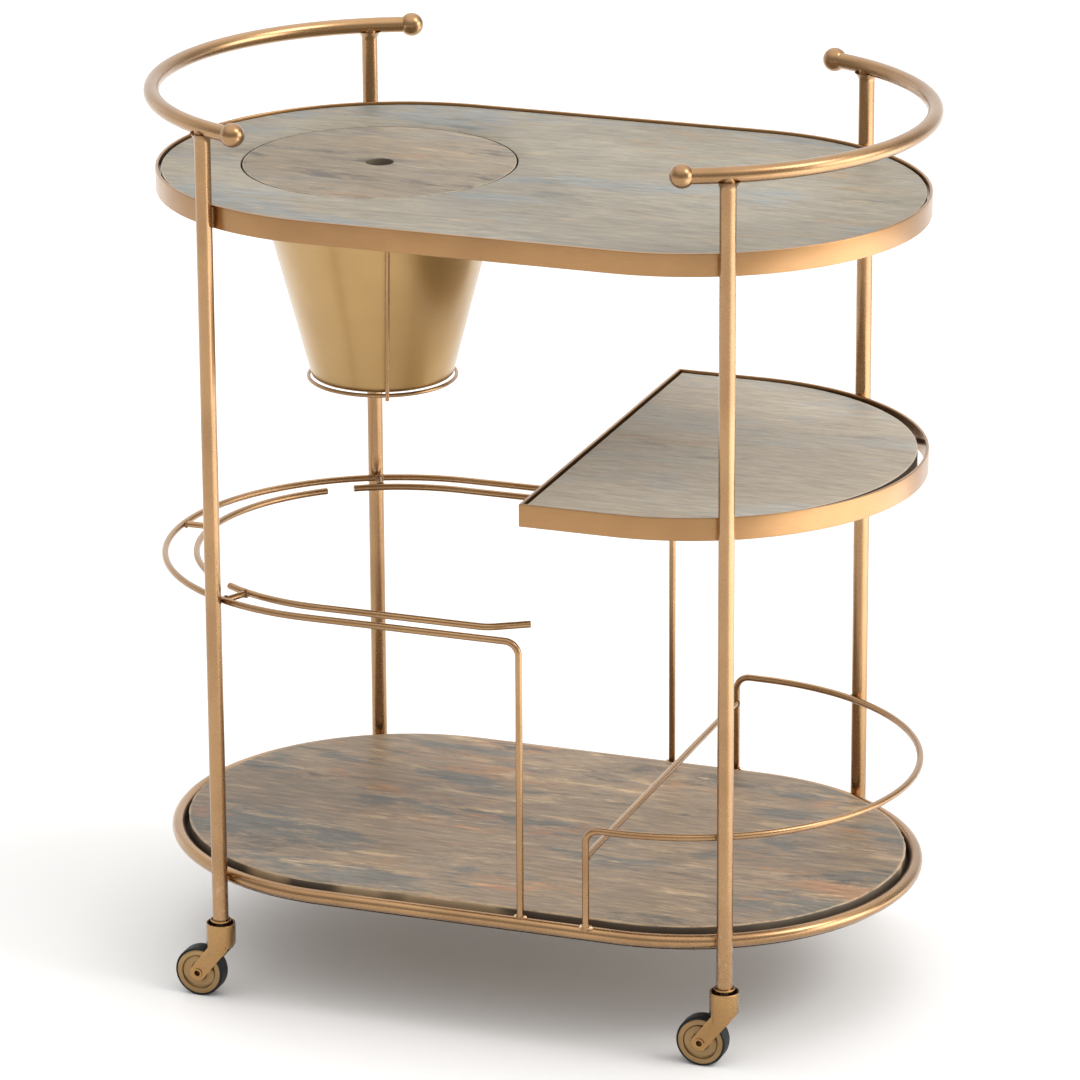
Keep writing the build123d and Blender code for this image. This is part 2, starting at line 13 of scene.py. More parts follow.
import bmesh
import bpy
from mathutils import Matrix, Vector, noise


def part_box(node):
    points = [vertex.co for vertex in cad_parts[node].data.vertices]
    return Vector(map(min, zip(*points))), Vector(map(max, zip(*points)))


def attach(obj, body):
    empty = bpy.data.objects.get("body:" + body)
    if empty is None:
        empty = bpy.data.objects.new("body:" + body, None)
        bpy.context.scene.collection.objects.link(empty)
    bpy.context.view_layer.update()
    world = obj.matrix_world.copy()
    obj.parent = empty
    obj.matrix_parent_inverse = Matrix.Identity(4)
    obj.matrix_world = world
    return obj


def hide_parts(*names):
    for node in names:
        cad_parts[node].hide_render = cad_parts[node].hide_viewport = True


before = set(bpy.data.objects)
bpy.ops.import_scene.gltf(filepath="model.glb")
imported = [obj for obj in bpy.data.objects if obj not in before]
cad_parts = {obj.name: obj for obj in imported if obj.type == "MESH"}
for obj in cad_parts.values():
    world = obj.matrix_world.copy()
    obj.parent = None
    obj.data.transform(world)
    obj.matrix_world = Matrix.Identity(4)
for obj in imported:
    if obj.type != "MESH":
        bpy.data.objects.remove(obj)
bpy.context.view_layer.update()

MM = 0.001
FRAME_BODY = "frame"
LOG = logging.getLogger("bar_cart")

Point = tuple[float, float]
Triple = tuple[float, float, float]


class Corner(Enum):
    """The cart's four corners, each with its signs along X and Y."""

    FRONT_LEFT = (-1, -1)
    FRONT_RIGHT = (1, -1)
    BACK_LEFT = (-1, 1)
    BACK_RIGHT = (1, 1)

    @property
    def label(self) -> str:
        """The corner's name as the CAD nodes spell it."""
        return self.name.lower()


class Axis(Enum):
    """The line that a turned piece is turned about."""

    UP = "Z"
    ACROSS = "Y"


# Node trees ---------------------------------------------------------------------------------------


class Graph:
    """A node tree being wired, for a material or for Geometry Nodes."""

    def __init__(self, tree: bpy.types.NodeTree) -> None:
        """Take an empty tree."""
        self.tree = tree

    def add(self, kind: str, inputs: dict | None = None, **settings: object) -> bpy.types.Node:
        """Add a node.

        Args:
            kind: the node's type name.
            inputs: for each input socket, by name or number, a value or the output socket that feeds it.
            settings: the node's own properties.

        Returns:
            The new node.
        """
        node = self.tree.nodes.new(kind)
        for key, value in settings.items():
            setattr(node, key, value)
        self.feed(node, inputs or {})
        return node

    def feed(self, node: bpy.types.Node, inputs: dict) -> None:
        """Give some of a node's input sockets a value each, or the output socket that feeds them."""
        for key, value in inputs.items():
            if isinstance(value, bpy.types.NodeSocket):
                self.tree.links.new(value, node.inputs[key])
            else:
                node.inputs[key].default_value = value

    def math(self, operation: str, first: object, second: object = 0.0) -> bpy.types.NodeSocket:
        """Combine two values, and give the result's socket."""
        return self.add("ShaderNodeMath", {0: first, 1: second}, operation=operation).outputs[0]

    def ramp(self, value: bpy.types.NodeSocket, low: float, high: float) -> bpy.types.NodeSocket:
        """A smooth step of a value, from 0 at low to 1 at high."""
        inputs = {"Value": value, "From Min": low, "From Max": high}
        return self.add("ShaderNodeMapRange", inputs, interpolation_type="SMOOTHSTEP").outputs["Result"]

    def mix(self, share: object, first: object, second: object, blend: str = "MIX") -> bpy.types.NodeSocket:
        """Mix two colours, and give the result's socket.

        Args:
            share: how much of the second there is, from 0 to 1.
            first: a colour, or the socket that gives it.
            second: a colour, or the socket that gives it.
            blend: the way that they are combined.

        Returns:
            The mixed colour's socket.
        """
        one, other = ((*c, 1.0) if isinstance(c, tuple) else c for c in (first, second))
        inputs = {0: share, 6: one, 7: other}
        return self.add("ShaderNodeMix", inputs, data_type="RGBA", blend_type=blend).outputs[2]

    def noise(
        self,
        vector: bpy.types.NodeSocket,
        scale: float,
        detail: float = 4.0,
        roughness: float = 0.55,
        distortion: float = 0.0,
    ) -> bpy.types.NodeSocket:
        """A noise value over a vector.

        Args:
            vector: the coordinates.
            scale: how fine the pattern is.
            detail: how many finer layers it has.
            roughness: how strong the finer layers are.
            distortion: how far the pattern is bent.

        Returns:
            The value's socket.
        """
        inputs = {
            "Vector": vector,
            "Scale": scale,
            "Detail": detail,
            "Roughness": roughness,
            "Distortion": distortion,
        }
        return self.add("ShaderNodeTexNoise", inputs).outputs[0]

    def mapped(
        self,
        vector: bpy.types.NodeSocket,
        scale: Triple,
        shift: Triple = (0.0, 0.0, 0.0),
        turn: float = 0.0,
    ) -> bpy.types.NodeSocket:
        """A vector stretched, turned about Z and moved.

        Args:
            vector: the coordinates.
            scale: the stretch along each axis.
            shift: how far they are moved.
            turn: the angle, in radians.

        Returns:
            The socket of the new coordinates.
        """
        inputs = {"Vector": vector, "Scale": scale, "Location": shift, "Rotation": (0.0, 0.0, turn)}
        return self.add("ShaderNodeMapping", inputs).outputs[0]


class GeometryRecipe:
    """A Geometry Nodes tree with named inputs, used once for each piece that it makes."""

    def __init__(self, name: str) -> None:
        """Start a tree with a geometry input and output."""
        self.tree = bpy.data.node_groups.new(name, "GeometryNodeTree")
        self.tree.interface.new_socket("Geometry", in_out="INPUT", socket_type="NodeSocketGeometry")
        self.tree.interface.new_socket("Geometry", in_out="OUTPUT", socket_type="NodeSocketGeometry")
        self.graph = Graph(self.tree)
        self.start = self.graph.add("NodeGroupInput")

    def input(self, name: str, kind: str, default: object = None) -> bpy.types.NodeSocket:
        """Add a named input, and give its socket inside the tree.

        Args:
            name: the input's name.
            kind: its socket type.
            default: its value where a piece gives none.

        Returns:
            Its socket inside the tree.
        """
        socket = self.tree.interface.new_socket(name, in_out="INPUT", socket_type=kind)
        if default is not None:
            socket.default_value = default
        return self.start.outputs[name]

    def end(self, geometry: bpy.types.NodeSocket) -> None:
        """Close the tree: realize what is instanced and give it the piece's material."""
        material = self.input("Material", "NodeSocketMaterial")
        real = self.graph.add("GeometryNodeRealizeInstances", {"Geometry": geometry})
        dressing = {"Geometry": real.outputs[0], "Material": material}
        dressed = self.graph.add("GeometryNodeSetMaterial", dressing)
        self.graph.add("NodeGroupOutput", {"Geometry": dressed.outputs[0]})

    def make(self, name: str, source: bpy.types.Mesh, **values: object) -> bpy.types.Object:
        """Run the tree on a mesh.

        Args:
            name: the piece's name.
            source: the mesh that the tree starts from.
            values: the tree's inputs, with underscores for the spaces in their names.

        Returns:
            A plain mesh object, with no modifier left on it.
        """
        carrier = bpy.data.objects.new(name + "_source", source)
        bpy.context.scene.collection.objects.link(carrier)
        modifier = carrier.modifiers.new("recipe", "NODES")
        modifier.node_group = self.tree
        for item in self.tree.interface.items_tree:
            key = item.name.replace(" ", "_").lower()
            if item.item_type == "SOCKET" and item.in_out == "INPUT" and key in values:
                modifier[item.identifier] = values[key]
        mesh = evaluated_mesh(carrier)
        mesh.name = name
        bpy.data.objects.remove(carrier)
        return show(name, mesh)


def bar_recipe() -> GeometryRecipe:
    """A round bar along each line of edges, with closed ends."""
    recipe = GeometryRecipe("round_bar")
    radius = recipe.input("Radius", "NodeSocketFloat", 4 * MM)
    sides = recipe.input("Sides", "NodeSocketInt", 32)
    graph = recipe.graph
    line = graph.add("GeometryNodeMeshToCurve", {"Mesh": recipe.start.outputs["Geometry"]})
    section = graph.add("GeometryNodeCurvePrimitiveCircle", {"Resolution": sides, "Radius": radius})
    bar = graph.add(
        "GeometryNodeCurveToMesh",
        {"Curve": line.outputs[0], "Profile Curve": section.outputs[0], "Fill Caps": True},
    )
    smooth = graph.add("GeometryNodeSetShadeSmooth", {"Geometry": bar.outputs[0]})
    recipe.end(smooth.outputs[0])
    return recipe


def weld_recipe() -> GeometryRecipe:
    """A rippled weld bead along each line of edges."""
    steps_per_ripple = 4.0
    ripple_depth = 0.09
    lump_scale = 260.0
    lump_depth = 0.7
    recipe = GeometryRecipe("weld_bead")
    radius = recipe.input("Radius", "NodeSocketFloat", 2 * MM)
    pitch = recipe.input("Pitch", "NodeSocketFloat", 1.4 * MM)
    seed = recipe.input("Seed", "NodeSocketFloat", 3.0)
    graph = recipe.graph
    line = graph.add("GeometryNodeMeshToCurve", {"Mesh": recipe.start.outputs["Geometry"]})
    fine = graph.add("GeometryNodeResampleCurve", {"Curve": line.outputs[0]}, mode="LENGTH")
    graph.tree.links.new(graph.math("DIVIDE", pitch, steps_per_ripple), fine.inputs["Length"])
    along = graph.add("GeometryNodeSplineParameter").outputs["Length"]
    phase = graph.math("MULTIPLY", graph.math("DIVIDE", along, pitch), math.tau)
    ripple = graph.math("MULTIPLY", graph.math("SINE", phase), ripple_depth)
    place = graph.add("GeometryNodeInputPosition").outputs[0]
    lump_inputs = {"Vector": place, "W": seed, "Scale": lump_scale}
    lump = graph.add("ShaderNodeTexNoise", lump_inputs, noise_dimensions="4D")
    swell = graph.math("MULTIPLY", graph.math("SUBTRACT", lump.outputs[0], 0.5), lump_depth)
    share = graph.math("ADD", graph.math("ADD", ripple, swell), 1.0)
    section = graph.add("GeometryNodeCurvePrimitiveCircle", {"Resolution": 12, "Radius": radius})
    bead = graph.add(
        "GeometryNodeCurveToMesh",
        {"Curve": fine.outputs[0], "Profile Curve": section.outputs[0], "Scale": share, "Fill Caps": True},
    )
    smooth = graph.add("GeometryNodeSetShadeSmooth", {"Geometry": bead.outputs[0]})
    recipe.end(smooth.outputs[0])
    return recipe


def scatter_recipe() -> GeometryRecipe:
    """A copy of one object at every point, each turned a little about Z."""
    recipe = GeometryRecipe("set_out")
    item = recipe.input("Item", "NodeSocketObject")
    seed = recipe.input("Seed", "NodeSocketInt", 5)
    graph = recipe.graph
    shape = graph.add("GeometryNodeObjectInfo", {"Object": item})
    spin = graph.add("FunctionNodeRandomValue", {"Seed": seed}, data_type="FLOAT")
    spin.inputs[3].default_value = math.tau
    turn = graph.add("ShaderNodeCombineXYZ", {"Z": spin.outputs[1]})
    copies = graph.add(
        "GeometryNodeInstanceOnPoints",
        {
            "Points": recipe.start.outputs["Geometry"],
            "Instance": shape.outputs["Geometry"],
            "Rotation": turn.outputs[0],
        },
    )
    recipe.end(copies.outputs[0])
    return recipe


# Meshes -------------------------------------------------------------------------------------------


def show(name: str, mesh: bpy.types.Mesh) -> bpy.types.Object:
    """Put a mesh in the scene as an object at the origin."""
    piece = bpy.data.objects.new(name, mesh)
    bpy.context.scene.collection.objects.link(piece)
    return piece


def evaluated_mesh(piece: bpy.types.Object) -> bpy.types.Mesh:
    """A plain mesh of a piece as its modifiers leave it."""
    graph = bpy.context.evaluated_depsgraph_get()
    return bpy.data.meshes.new_from_object(piece.evaluated_get(graph), depsgraph=graph)


def cut_away(piece: bpy.types.Object, cutter: bpy.types.Object) -> None:
    """Cut one closed shape out of another, and remove the cutter."""
    cut = piece.modifiers.new("cut", "BOOLEAN")
    cut.object = cutter
    cut.solver = "EXACT"
    piece.data = evaluated_mesh(piece)
    piece.modifiers.clear()
    bpy.data.objects.remove(cutter)


def middle_of(node: str) -> Vector:
    """The middle of a CAD node's box."""
    low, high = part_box(node)
    return (low + high) / 2


def half_sizes(node: str) -> Triple:
    """Half of a CAD node's size along X, Y and Z."""
    low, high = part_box(node)
    return (high.x - low.x) / 2, (high.y - low.y) / 2, (high.z - low.z) / 2


def axis_at(node: str) -> Vector:
    """Where the upright axis of a round CAD node meets the floor, on the cart's centre line."""
    low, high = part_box(node)
    return Vector(((low.x + high.x) / 2, 0, 0))


def from_faces(name: str, points: Sequence[Vector], faces: Sequence[Sequence[int]]) -> bpy.types.Object:
    """A smooth-shaded object from points and faces, its normals turned outwards.

    Args:
        name: the object's name.
        points: its points.
        faces: the points of each face, by number.

    Returns:
        The object.
    """
    mesh = bpy.data.meshes.new(name)
    mesh.from_pydata([tuple(p) for p in points], [], [tuple(f) for f in faces])
    work = bmesh.new()
    work.from_mesh(mesh)
    bmesh.ops.remove_doubles(work, verts=work.verts, dist=1e-7)
    bmesh.ops.recalc_face_normals(work, faces=work.faces)
    for face in work.faces:
        face.smooth = True
    work.to_mesh(mesh)
    work.free()
    return show(name, mesh)


def lines(name: str, paths: Sequence[Sequence[Vector]], closed: bool = False) -> bpy.types.Mesh:
    """A mesh of edges only, one run of edges for each path.

    Args:
        name: the mesh's name.
        paths: the points of each run.
        closed: join each path's last point to its first.

    Returns:
        The mesh.
    """
    points: list[Triple] = []
    edges: list[tuple[int, int]] = []
    for path in paths:
        first = len(points)
        points += [tuple(p) for p in path]
        edges += [(i, i + 1) for i in range(first, len(points) - 1)]
        if closed:
            edges.append((len(points) - 1, first))
    mesh = bpy.data.meshes.new(name)
    mesh.from_pydata(points, edges, [])
    return mesh


def dots(name: str, places: Sequence[Vector]) -> bpy.types.Mesh:
    """A mesh of points only."""
    mesh = bpy.data.meshes.new(name)
    mesh.from_pydata([tuple(p) for p in places], [], [])
    return mesh


def loft(name: str, rings: Sequence[Sequence[Vector]], closed: bool = False) -> bpy.types.Object:
    """A skin over rings of equal count.

    Args:
        name: the object's name.
        rings: the rings, in order.
        closed: join the last ring to the first, as a frame; otherwise both end rings are filled.

    Returns:
        The object.
    """
    count = len(rings[0])
    points = [p for ring in rings for p in ring]
    faces: list[Sequence[int]] = []
    for i in range(len(rings) if closed else len(rings) - 1):
        a, b = i * count, ((i + 1) % len(rings)) * count
        faces += [(a + j, a + (j + 1) % count, b + (j + 1) % count, b + j) for j in range(count)]
    if not closed:
        faces += [tuple(range(count)), tuple(range((len(rings) - 1) * count, len(rings) * count))]
    return from_faces(name, points, faces)


def turned(
    name: str,
    section: Sequence[Point],
    centre: Vector,
    axis: Axis = Axis.UP,
    segments: int = 96,
    loop: bool = False,
) -> bpy.types.Object:
    """A turned piece.

    Args:
        name: the object's name.
        section: (radius, height) points; a radius of 0 closes the piece at a pole.
        centre: where the axis passes at height 0.
        axis: the line that it is turned about.
        segments: how many steps round.
        loop: join the last point to the first, as a ring.

    Returns:
        The object.
    """
    points: list[Vector] = []
    faces: list[Sequence[int]] = []
    starts: list[int] = []
    for radius, height in section:
        starts.append(len(points))
        for step in range(1 if radius == 0 else segments):
            angle = math.tau * step / segments
            x, y = radius * math.cos(angle), radius * math.sin(angle)
            points.append(centre + (Vector((x, y, height)) if axis is Axis.UP else Vector((x, height, y))))
    for i in range(len(section) if loop else len(section) - 1):
        k = (i + 1) % len(section)
        a, b = starts[i], starts[k]
        for step in range(segments):
            after = (step + 1) % segments
            if section[i][0] == 0:
                faces.append((a, b + step, b + after))
            elif section[k][0] == 0:
                faces.append((a + step, a + after, b))
            else:
                faces.append((a + step, a + after, b + after, b + step))
    return from_faces(name, points, faces)


def eased(start: Vector, corner: Vector, end: Vector, steps: int) -> list[Vector]:
    """Points along the smooth curve that leaves a corner out between two points on its sides."""
    shares = [i / steps for i in range(steps + 1)]
    return [start.lerp(corner, t).lerp(corner.lerp(end, t), t) for t in shares]


def rounded(section: Sequence[Point], radius: float, steps: int = 4, closed: bool = True) -> list[Point]:
    """A section with its corners rounded.

    Args:
        section: the section's corners, in order.
        radius: how far from a corner the rounding starts, less where an edge is short.
        steps: how many steps round each corner.
        closed: the last corner joins the first; otherwise both stay as they are.

    Returns:
        The rounded section.
    """
    edge_share = 0.45
    result: list[Point] = []
    count = len(section)
    for i, corner in enumerate(section):
        if not closed and i in (0, count - 1):
            result.append(corner)
            continue
        here = Vector(corner)
        before, after = Vector(section[i - 1]) - here, Vector(section[(i + 1) % count]) - here
        reach = min(radius, edge_share * before.length, edge_share * after.length)
        start, end = here + before.normalized() * reach, here + after.normalized() * reach
        result += [(point.x, point.y) for point in eased(start, here, end, steps)]
    return result


def polar(centre: Vector, radius: float, angle: float) -> Vector:
    """The point at a level distance from a centre, its angle in degrees from +X."""
    turn = math.radians(angle)
    return centre + Vector((radius * math.cos(turn), radius * math.sin(turn), 0))


def arc(centre: Vector, radius: float, start: float, end: float, steps: int) -> list[Vector]:
    """Points along a level arc, its angles in degrees from +X."""
    return [polar(centre, radius, start + (end - start) * i / steps) for i in range(steps + 1)]


def bent(before: Vector, corner: Vector, after: Vector, radius: float, steps: int = 10) -> list[Vector]:
    """Points round a right-angled bend between two straight runs.

    Args:
        before: a point on the first run.
        corner: where the two runs would meet.
        after: a point on the second run.
        radius: the bend's radius.
        steps: how many steps round it.

    Returns:
        The points, from the first run to the second.
    """
    start, end = (before - corner).normalized() * radius, (after - corner).normalized() * radius
    centre = corner + start + end
    return [
        centre - end * math.cos(math.pi / 2 * i / steps) - start * math.sin(math.pi / 2 * i / steps)
        for i in range(steps + 1)
    ]


def fitted(piece: bpy.types.Object, material: bpy.types.Material) -> bpy.types.Object:
    """Give a piece one material, and give the piece back."""
    piece.data.materials.clear()
    piece.data.materials.append(material)
    return piece


def creased(piece: bpy.types.Object, angle: float = 35.0) -> bpy.types.Object:
    """Mark a piece's edges sharp where its faces turn by more than an angle in degrees, and give it back."""
    piece.data.set_sharp_from_angle(angle=math.radians(angle))
    return piece


def mark_rim(piece: bpy.types.Object, depth: Callable[[Vector], float], width: float) -> None:
    """Store how near its outline each point of a board is.

    Args:
        piece: the board.
        depth: gives how far inside the outline a point is.
        width: the depth at which the stored value, 1 on the outline, has fallen to 0.
    """
    rim = piece.data.attributes.new("rim", "FLOAT", "POINT")
    for vertex, value in zip(piece.data.vertices, rim.data):
        value.value = min(max(1.0 - depth(vertex.co) / width, 0.0), 1.0)


def deliver(piece: bpy.types.Object, body: str, replaces: Sequence[str] = ()) -> None:
    """Ride a finished piece on its body and the nodes that it stands for, and report it.

    Args:
        piece: the piece.
        body: the body that it rides on.
        replaces: the CAD nodes that it stands for.
    """
    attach(piece, body)
    if replaces:
        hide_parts(*replaces)
    LOG.info("%s: %d faces on %s", piece.name, len(piece.data.polygons), body)


# Finishes -----------------------------------------------------------------------------------------


@dataclass(frozen=True)
class Metal:
    """A satin metal with faint mottling and a brushed grain."""

    name: str
    slot: str
    color: Triple
    dark: Triple
    roughness: float = 0.34
    grain: Triple = (900.0, 900.0, 900.0)
    grain_depth: float = 0.02
    mottle: float = 0.35
    lacquer: float = 0.5
    foot_dust: float = 0.0
    dust: Triple = (0.62, 0.50, 0.36)
    dust_full_z: float = 0.10
    dust_top_z: float = 0.24
    lacquer_roughness: float = 0.16

    def material(self) -> bpy.types.Material:
        """Build the finish as a material."""
        material, graph, shader = blank_material(self.name)
        place = graph.add("ShaderNodeTexCoord").outputs["Object"]
        cloud = graph.noise(place, scale=9.0, detail=3.0)
        speck = graph.noise(place, scale=420.0, detail=2.0)
        brushing = graph.noise(graph.mapped(place, self.grain), scale=1.0, detail=3.0, roughness=0.6)
        patch = graph.ramp(cloud, low=0.32, high=0.72)
        tone: object = self.color
        for value, share in (
            (patch, self.mottle),
            (graph.ramp(speck, low=0.60, high=0.78), 0.30),
            (graph.ramp(brushing, low=0.45, high=0.75), 0.22),
        ):
            tone = graph.mix(graph.math("MULTIPLY", value, share), tone, self.dark)
        if self.foot_dust:
            height = graph.add("ShaderNodeSeparateXYZ", {"Vector": place}).outputs["Z"]
            low = graph.math("SUBTRACT", 1.0, graph.ramp(height, self.dust_full_z, self.dust_top_z))
            drawn = graph.mapped(place, (260.0, 260.0, 120.0))
            flecks = graph.noise(drawn, scale=1.0, detail=3.0, roughness=0.7)
            share = graph.math("MULTIPLY", low, graph.ramp(flecks, low=0.56, high=0.66))
            tone = graph.mix(graph.math("MULTIPLY", share, self.foot_dust), tone, self.dust)
        rough = graph.math("ADD", graph.math("MULTIPLY", brushing, 0.16), self.roughness - 0.08)
        smudge = graph.math("ADD", rough, graph.math("MULTIPLY", patch, 0.05))
        relief = {"Height": brushing, "Strength": 0.35, "Distance": self.grain_depth * MM}
        bump = graph.add("ShaderNodeBump", relief)
        graph.feed(shader, {"Base Color": tone, "Roughness": smudge, "Normal": bump.outputs[0]})
        graph.feed(shader, {"Metallic": 1.0, "Coat Weight": self.lacquer})
        graph.feed(shader, {"Coat Roughness": self.lacquer_roughness})
        return material


@dataclass(frozen=True)
class WashedWood:
    """Open-grained wood under a grey-blue wash, rubbed back along the grain, which runs along X.

    Shares and spread say how strong and how wide the blue, tan, slate and beige layers are, in that order.
    Edge is the colour of a worn rim, and the flank colour is painted shade on the upright sides, which
    darkens the gaps round the boards; the sides are rubbed back to edge in places.
    The rim attribute of a board says how near its outline a point is, from 0 to 1.
    """

    name: str
    slot: str
    wash: Triple
    blue: Triple
    beige: Triple
    tan: Triple
    slate: Triple
    edge: Triple
    # painted shade: the dark colour of the upright sides
    flank: Triple = (0.085, 0.066, 0.048)
    shares: tuple[float, float, float, float] = (0.7, 0.6, 0.5, 0.6)
    spread: tuple[float, float, float, float] = (0.5, 0.5, 0.5, 0.5)
    contrast: float = 1.0
    knots: float = 0.0
    rubbed: float = 0.0
    shift: Triple = (0.0, 0.0, 0.0)
    turn: float = 0.0
    roughness: float = 0.5
    pore_depth: float = 0.22 * MM
    shine: float = 0.35

    def material(self) -> bpy.types.Material:
        """Build the finish as a material."""
        material, graph, shader = blank_material(self.name)
        place = graph.add("ShaderNodeTexCoord").outputs["Object"]
        board = graph.mapped(place, (1.0, 1.0, 1.0), self.shift, self.turn)
        wander = graph.noise(graph.mapped(board, (2.5, 7.0, 7.0)), 1.0, 2.0)
        sway = graph.add("ShaderNodeCombineXYZ", {"Y": graph.math("MULTIPLY", wander, 0.045)}).outputs[0]
        grain = graph.add("ShaderNodeVectorMath", {0: board, 1: sway}, operation="ADD").outputs[0]

        tone: object = self.wash
        # Each layer's colour, its scale along and across the grain, its shift and how soft its border is.
        layers = (
            (self.blue, (4.5, 13.0, 13.0), (0.0, 0.0, 0.0), 0.10),
            (self.tan, (6.5, 19.0, 19.0), (1.9, 9.2, 0.0), 0.12),
            (self.slate, (7.0, 24.0, 24.0), (7.3, 4.1, 0.0), 0.11),
            (self.beige, (11.0, 52.0, 52.0), (3.1, 1.7, 0.0), 0.12),
        )
        for (color, scale, shift, blur), share, spread in zip(layers, self.shares, self.spread):
            cloud = graph.noise(graph.mapped(grain, scale, shift), 1.0, 8.0, 0.70, distortion=0.25)
            start = 0.66 - 0.24 * spread
            patch = graph.ramp(cloud, start, start + blur)
            tone = graph.mix(graph.math("MULTIPLY", patch, share), tone, color)

        streaks = graph.noise(graph.mapped(grain, (18.0, 150.0, 150.0)), 1.0, 6.0, 0.66)
        fine = graph.noise(graph.mapped(grain, (42.0, 400.0, 400.0)), 1.0, 4.0, 0.66)
        pores = graph.noise(graph.mapped(grain, (95.0, 1500.0, 1500.0)), 1.0, 2.0, 0.5)
        broad = graph.noise(graph.mapped(board, (2.2, 5.0, 5.0), (5.0, 2.0, 0.0)), 1.0, 3.0, 0.6)
        for value, depth in ((broad, 0.22), (streaks, 0.24), (fine, 0.30)):
            swing = depth * self.contrast
            shade = graph.add("ShaderNodeMapRange", {"Value": value, "From Min": 0.3, "From Max": 0.7})
            graph.feed(shade, {"To Min": 1.0 - swing, "To Max": 1.0 + swing * 0.75})
            tone = graph.mix(1.0, tone, self.grey(graph, shade.outputs[0]), "MULTIPLY")
        pit = graph.math("MULTIPLY", graph.ramp(pores, 0.60, 0.74), 0.40)
        tone = graph.mix(pit, tone, tuple(0.40 * c for c in self.beige))
        if self.knots:
            tone = self.knotted(graph, board, tone)

        rim = graph.add("ShaderNodeAttribute", attribute_name="rim").outputs["Fac"]
        patchy = graph.noise(graph.mapped(place, (60.0, 60.0, 60.0)), 1.0, 5.0, 0.7)
        worn = graph.math("MULTIPLY", graph.ramp(rim, 0.35, 0.95), graph.ramp(patchy, 0.30, 0.62))
        tone = graph.mix(worn, tone, self.edge)
        # Painted shade: faces that stand upright take the dark flank colour, with rubbed patches of the worn
        # edge colour.
        normal = graph.add("ShaderNodeNewGeometry").outputs["Normal"]
        facing = graph.add("ShaderNodeSeparateXYZ", {"Vector": normal})
        side = graph.math("SUBTRACT", 1.0, graph.math("ABSOLUTE", facing.outputs["Z"]))
        patches = graph.noise(graph.mapped(place, (5.0, 5.0, 5.0), (3.0, 0.4, 0.0)), 1.0, 3.0)
        bare = graph.ramp(patches, low=0.54, high=0.60)
        shaded_side_tone = graph.mix(graph.math("MULTIPLY", bare, self.rubbed), self.flank, self.edge)
        tone = graph.mix(graph.ramp(side, 0.35, 0.75), tone, shaded_side_tone)

        height = graph.math("SUBTRACT", graph.math("ADD", fine, graph.math("MULTIPLY", streaks, 0.8)), pit)
        bump = graph.add("ShaderNodeBump", {"Height": height, "Strength": 0.45, "Distance": self.pore_depth})
        rough = graph.math("ADD", graph.math("MULTIPLY", fine, 0.24), self.roughness - 0.12)
        graph.feed(shader, {"Base Color": tone, "Roughness": rough, "Normal": bump.outputs[0]})
        graph.feed(shader, {"Specular IOR Level": self.shine})
        return material

    def knotted(
        self, graph: Graph, board: bpy.types.NodeSocket, tone: bpy.types.NodeSocket
    ) -> bpy.types.NodeSocket:
        """Add a few small knots, each with a tan halo drawn out along the grain.

        Args:
            graph: the material's nodes.
            board: the board's own coordinates.
            tone: the colour so far.

        Returns:
            The colour with the knots in it.
        """
        cells_at = {"Vector": graph.mapped(board, (2.6, 5.2, 5.2)), "Scale": 1.0, "Randomness": 1.0}
        cells = graph.add("ShaderNodeTexVoronoi", cells_at)
        lot = graph.add("ShaderNodeSeparateColor", {"Color": cells.outputs["Color"]}).outputs[0]
        chosen = graph.math("GREATER_THAN", lot, 1.0 - self.knots)
        near = cells.outputs["Distance"]
        halo, heart = (
            graph.math("MULTIPLY", graph.math("SUBTRACT", 1.0, graph.ramp(near, low, high)), chosen)
            for low, high in ((0.02, 0.12), (0.008, 0.022))
        )
        tone = graph.mix(graph.math("MULTIPLY", halo, 0.6), tone, self.tan)
        return graph.mix(graph.math("MULTIPLY", heart, 0.9), tone, tuple(0.30 * c for c in self.slate))

    @staticmethod
    def grey(graph: Graph, value: bpy.types.NodeSocket) -> bpy.types.NodeSocket:
        """A value as a grey colour."""
        return graph.add("ShaderNodeCombineColor", {"Red": value, "Green": value, "Blue": value}).outputs[0]


@dataclass(frozen=True)
class Rubber:
    """Matte rubber, faintly mottled, with a bloom of dust."""

    name: str
    slot: str
    color: Triple = (0.007, 0.007, 0.009)
    dust: Triple = (0.019, 0.018, 0.018)
    pebble_depth: float = 0.08 * MM
    shine: float = 0.28

    def material(self) -> bpy.types.Material:
        """Build the finish as a material."""
        material, graph, shader = blank_material(self.name)
        place = graph.add("ShaderNodeTexCoord").outputs["Object"]
        cloud = graph.noise(place, scale=60.0, detail=5.0)
        pebble = graph.noise(place, scale=1600.0, detail=2.0)
        tone = graph.mix(graph.math("MULTIPLY", graph.ramp(cloud, 0.4, 0.75), 0.6), self.color, self.dust)
        bump = graph.add("ShaderNodeBump", {"Height": pebble, "Strength": 0.4, "Distance": self.pebble_depth})
        rough = graph.math("ADD", graph.math("MULTIPLY", cloud, 0.2), 0.45)
        graph.feed(shader, {"Base Color": tone, "Roughness": rough, "Normal": bump.outputs[0]})
        graph.feed(shader, {"Specular IOR Level": self.shine})
        return material


def blank_material(name: str) -> tuple[bpy.types.Material, Graph, bpy.types.Node]:
    """A new material with only a shader and an output in it, given with its nodes and its shader."""
    material = bpy.data.materials.new(name)
    material.use_nodes = True
    material.node_tree.nodes.clear()
    graph = Graph(material.node_tree)
    shader = graph.add("ShaderNodeBsdfPrincipled")
    graph.add("ShaderNodeOutputMaterial", {"Surface": shader.outputs[0]})
    return material, graph, shader


Finish = Metal | WashedWood | Rubber


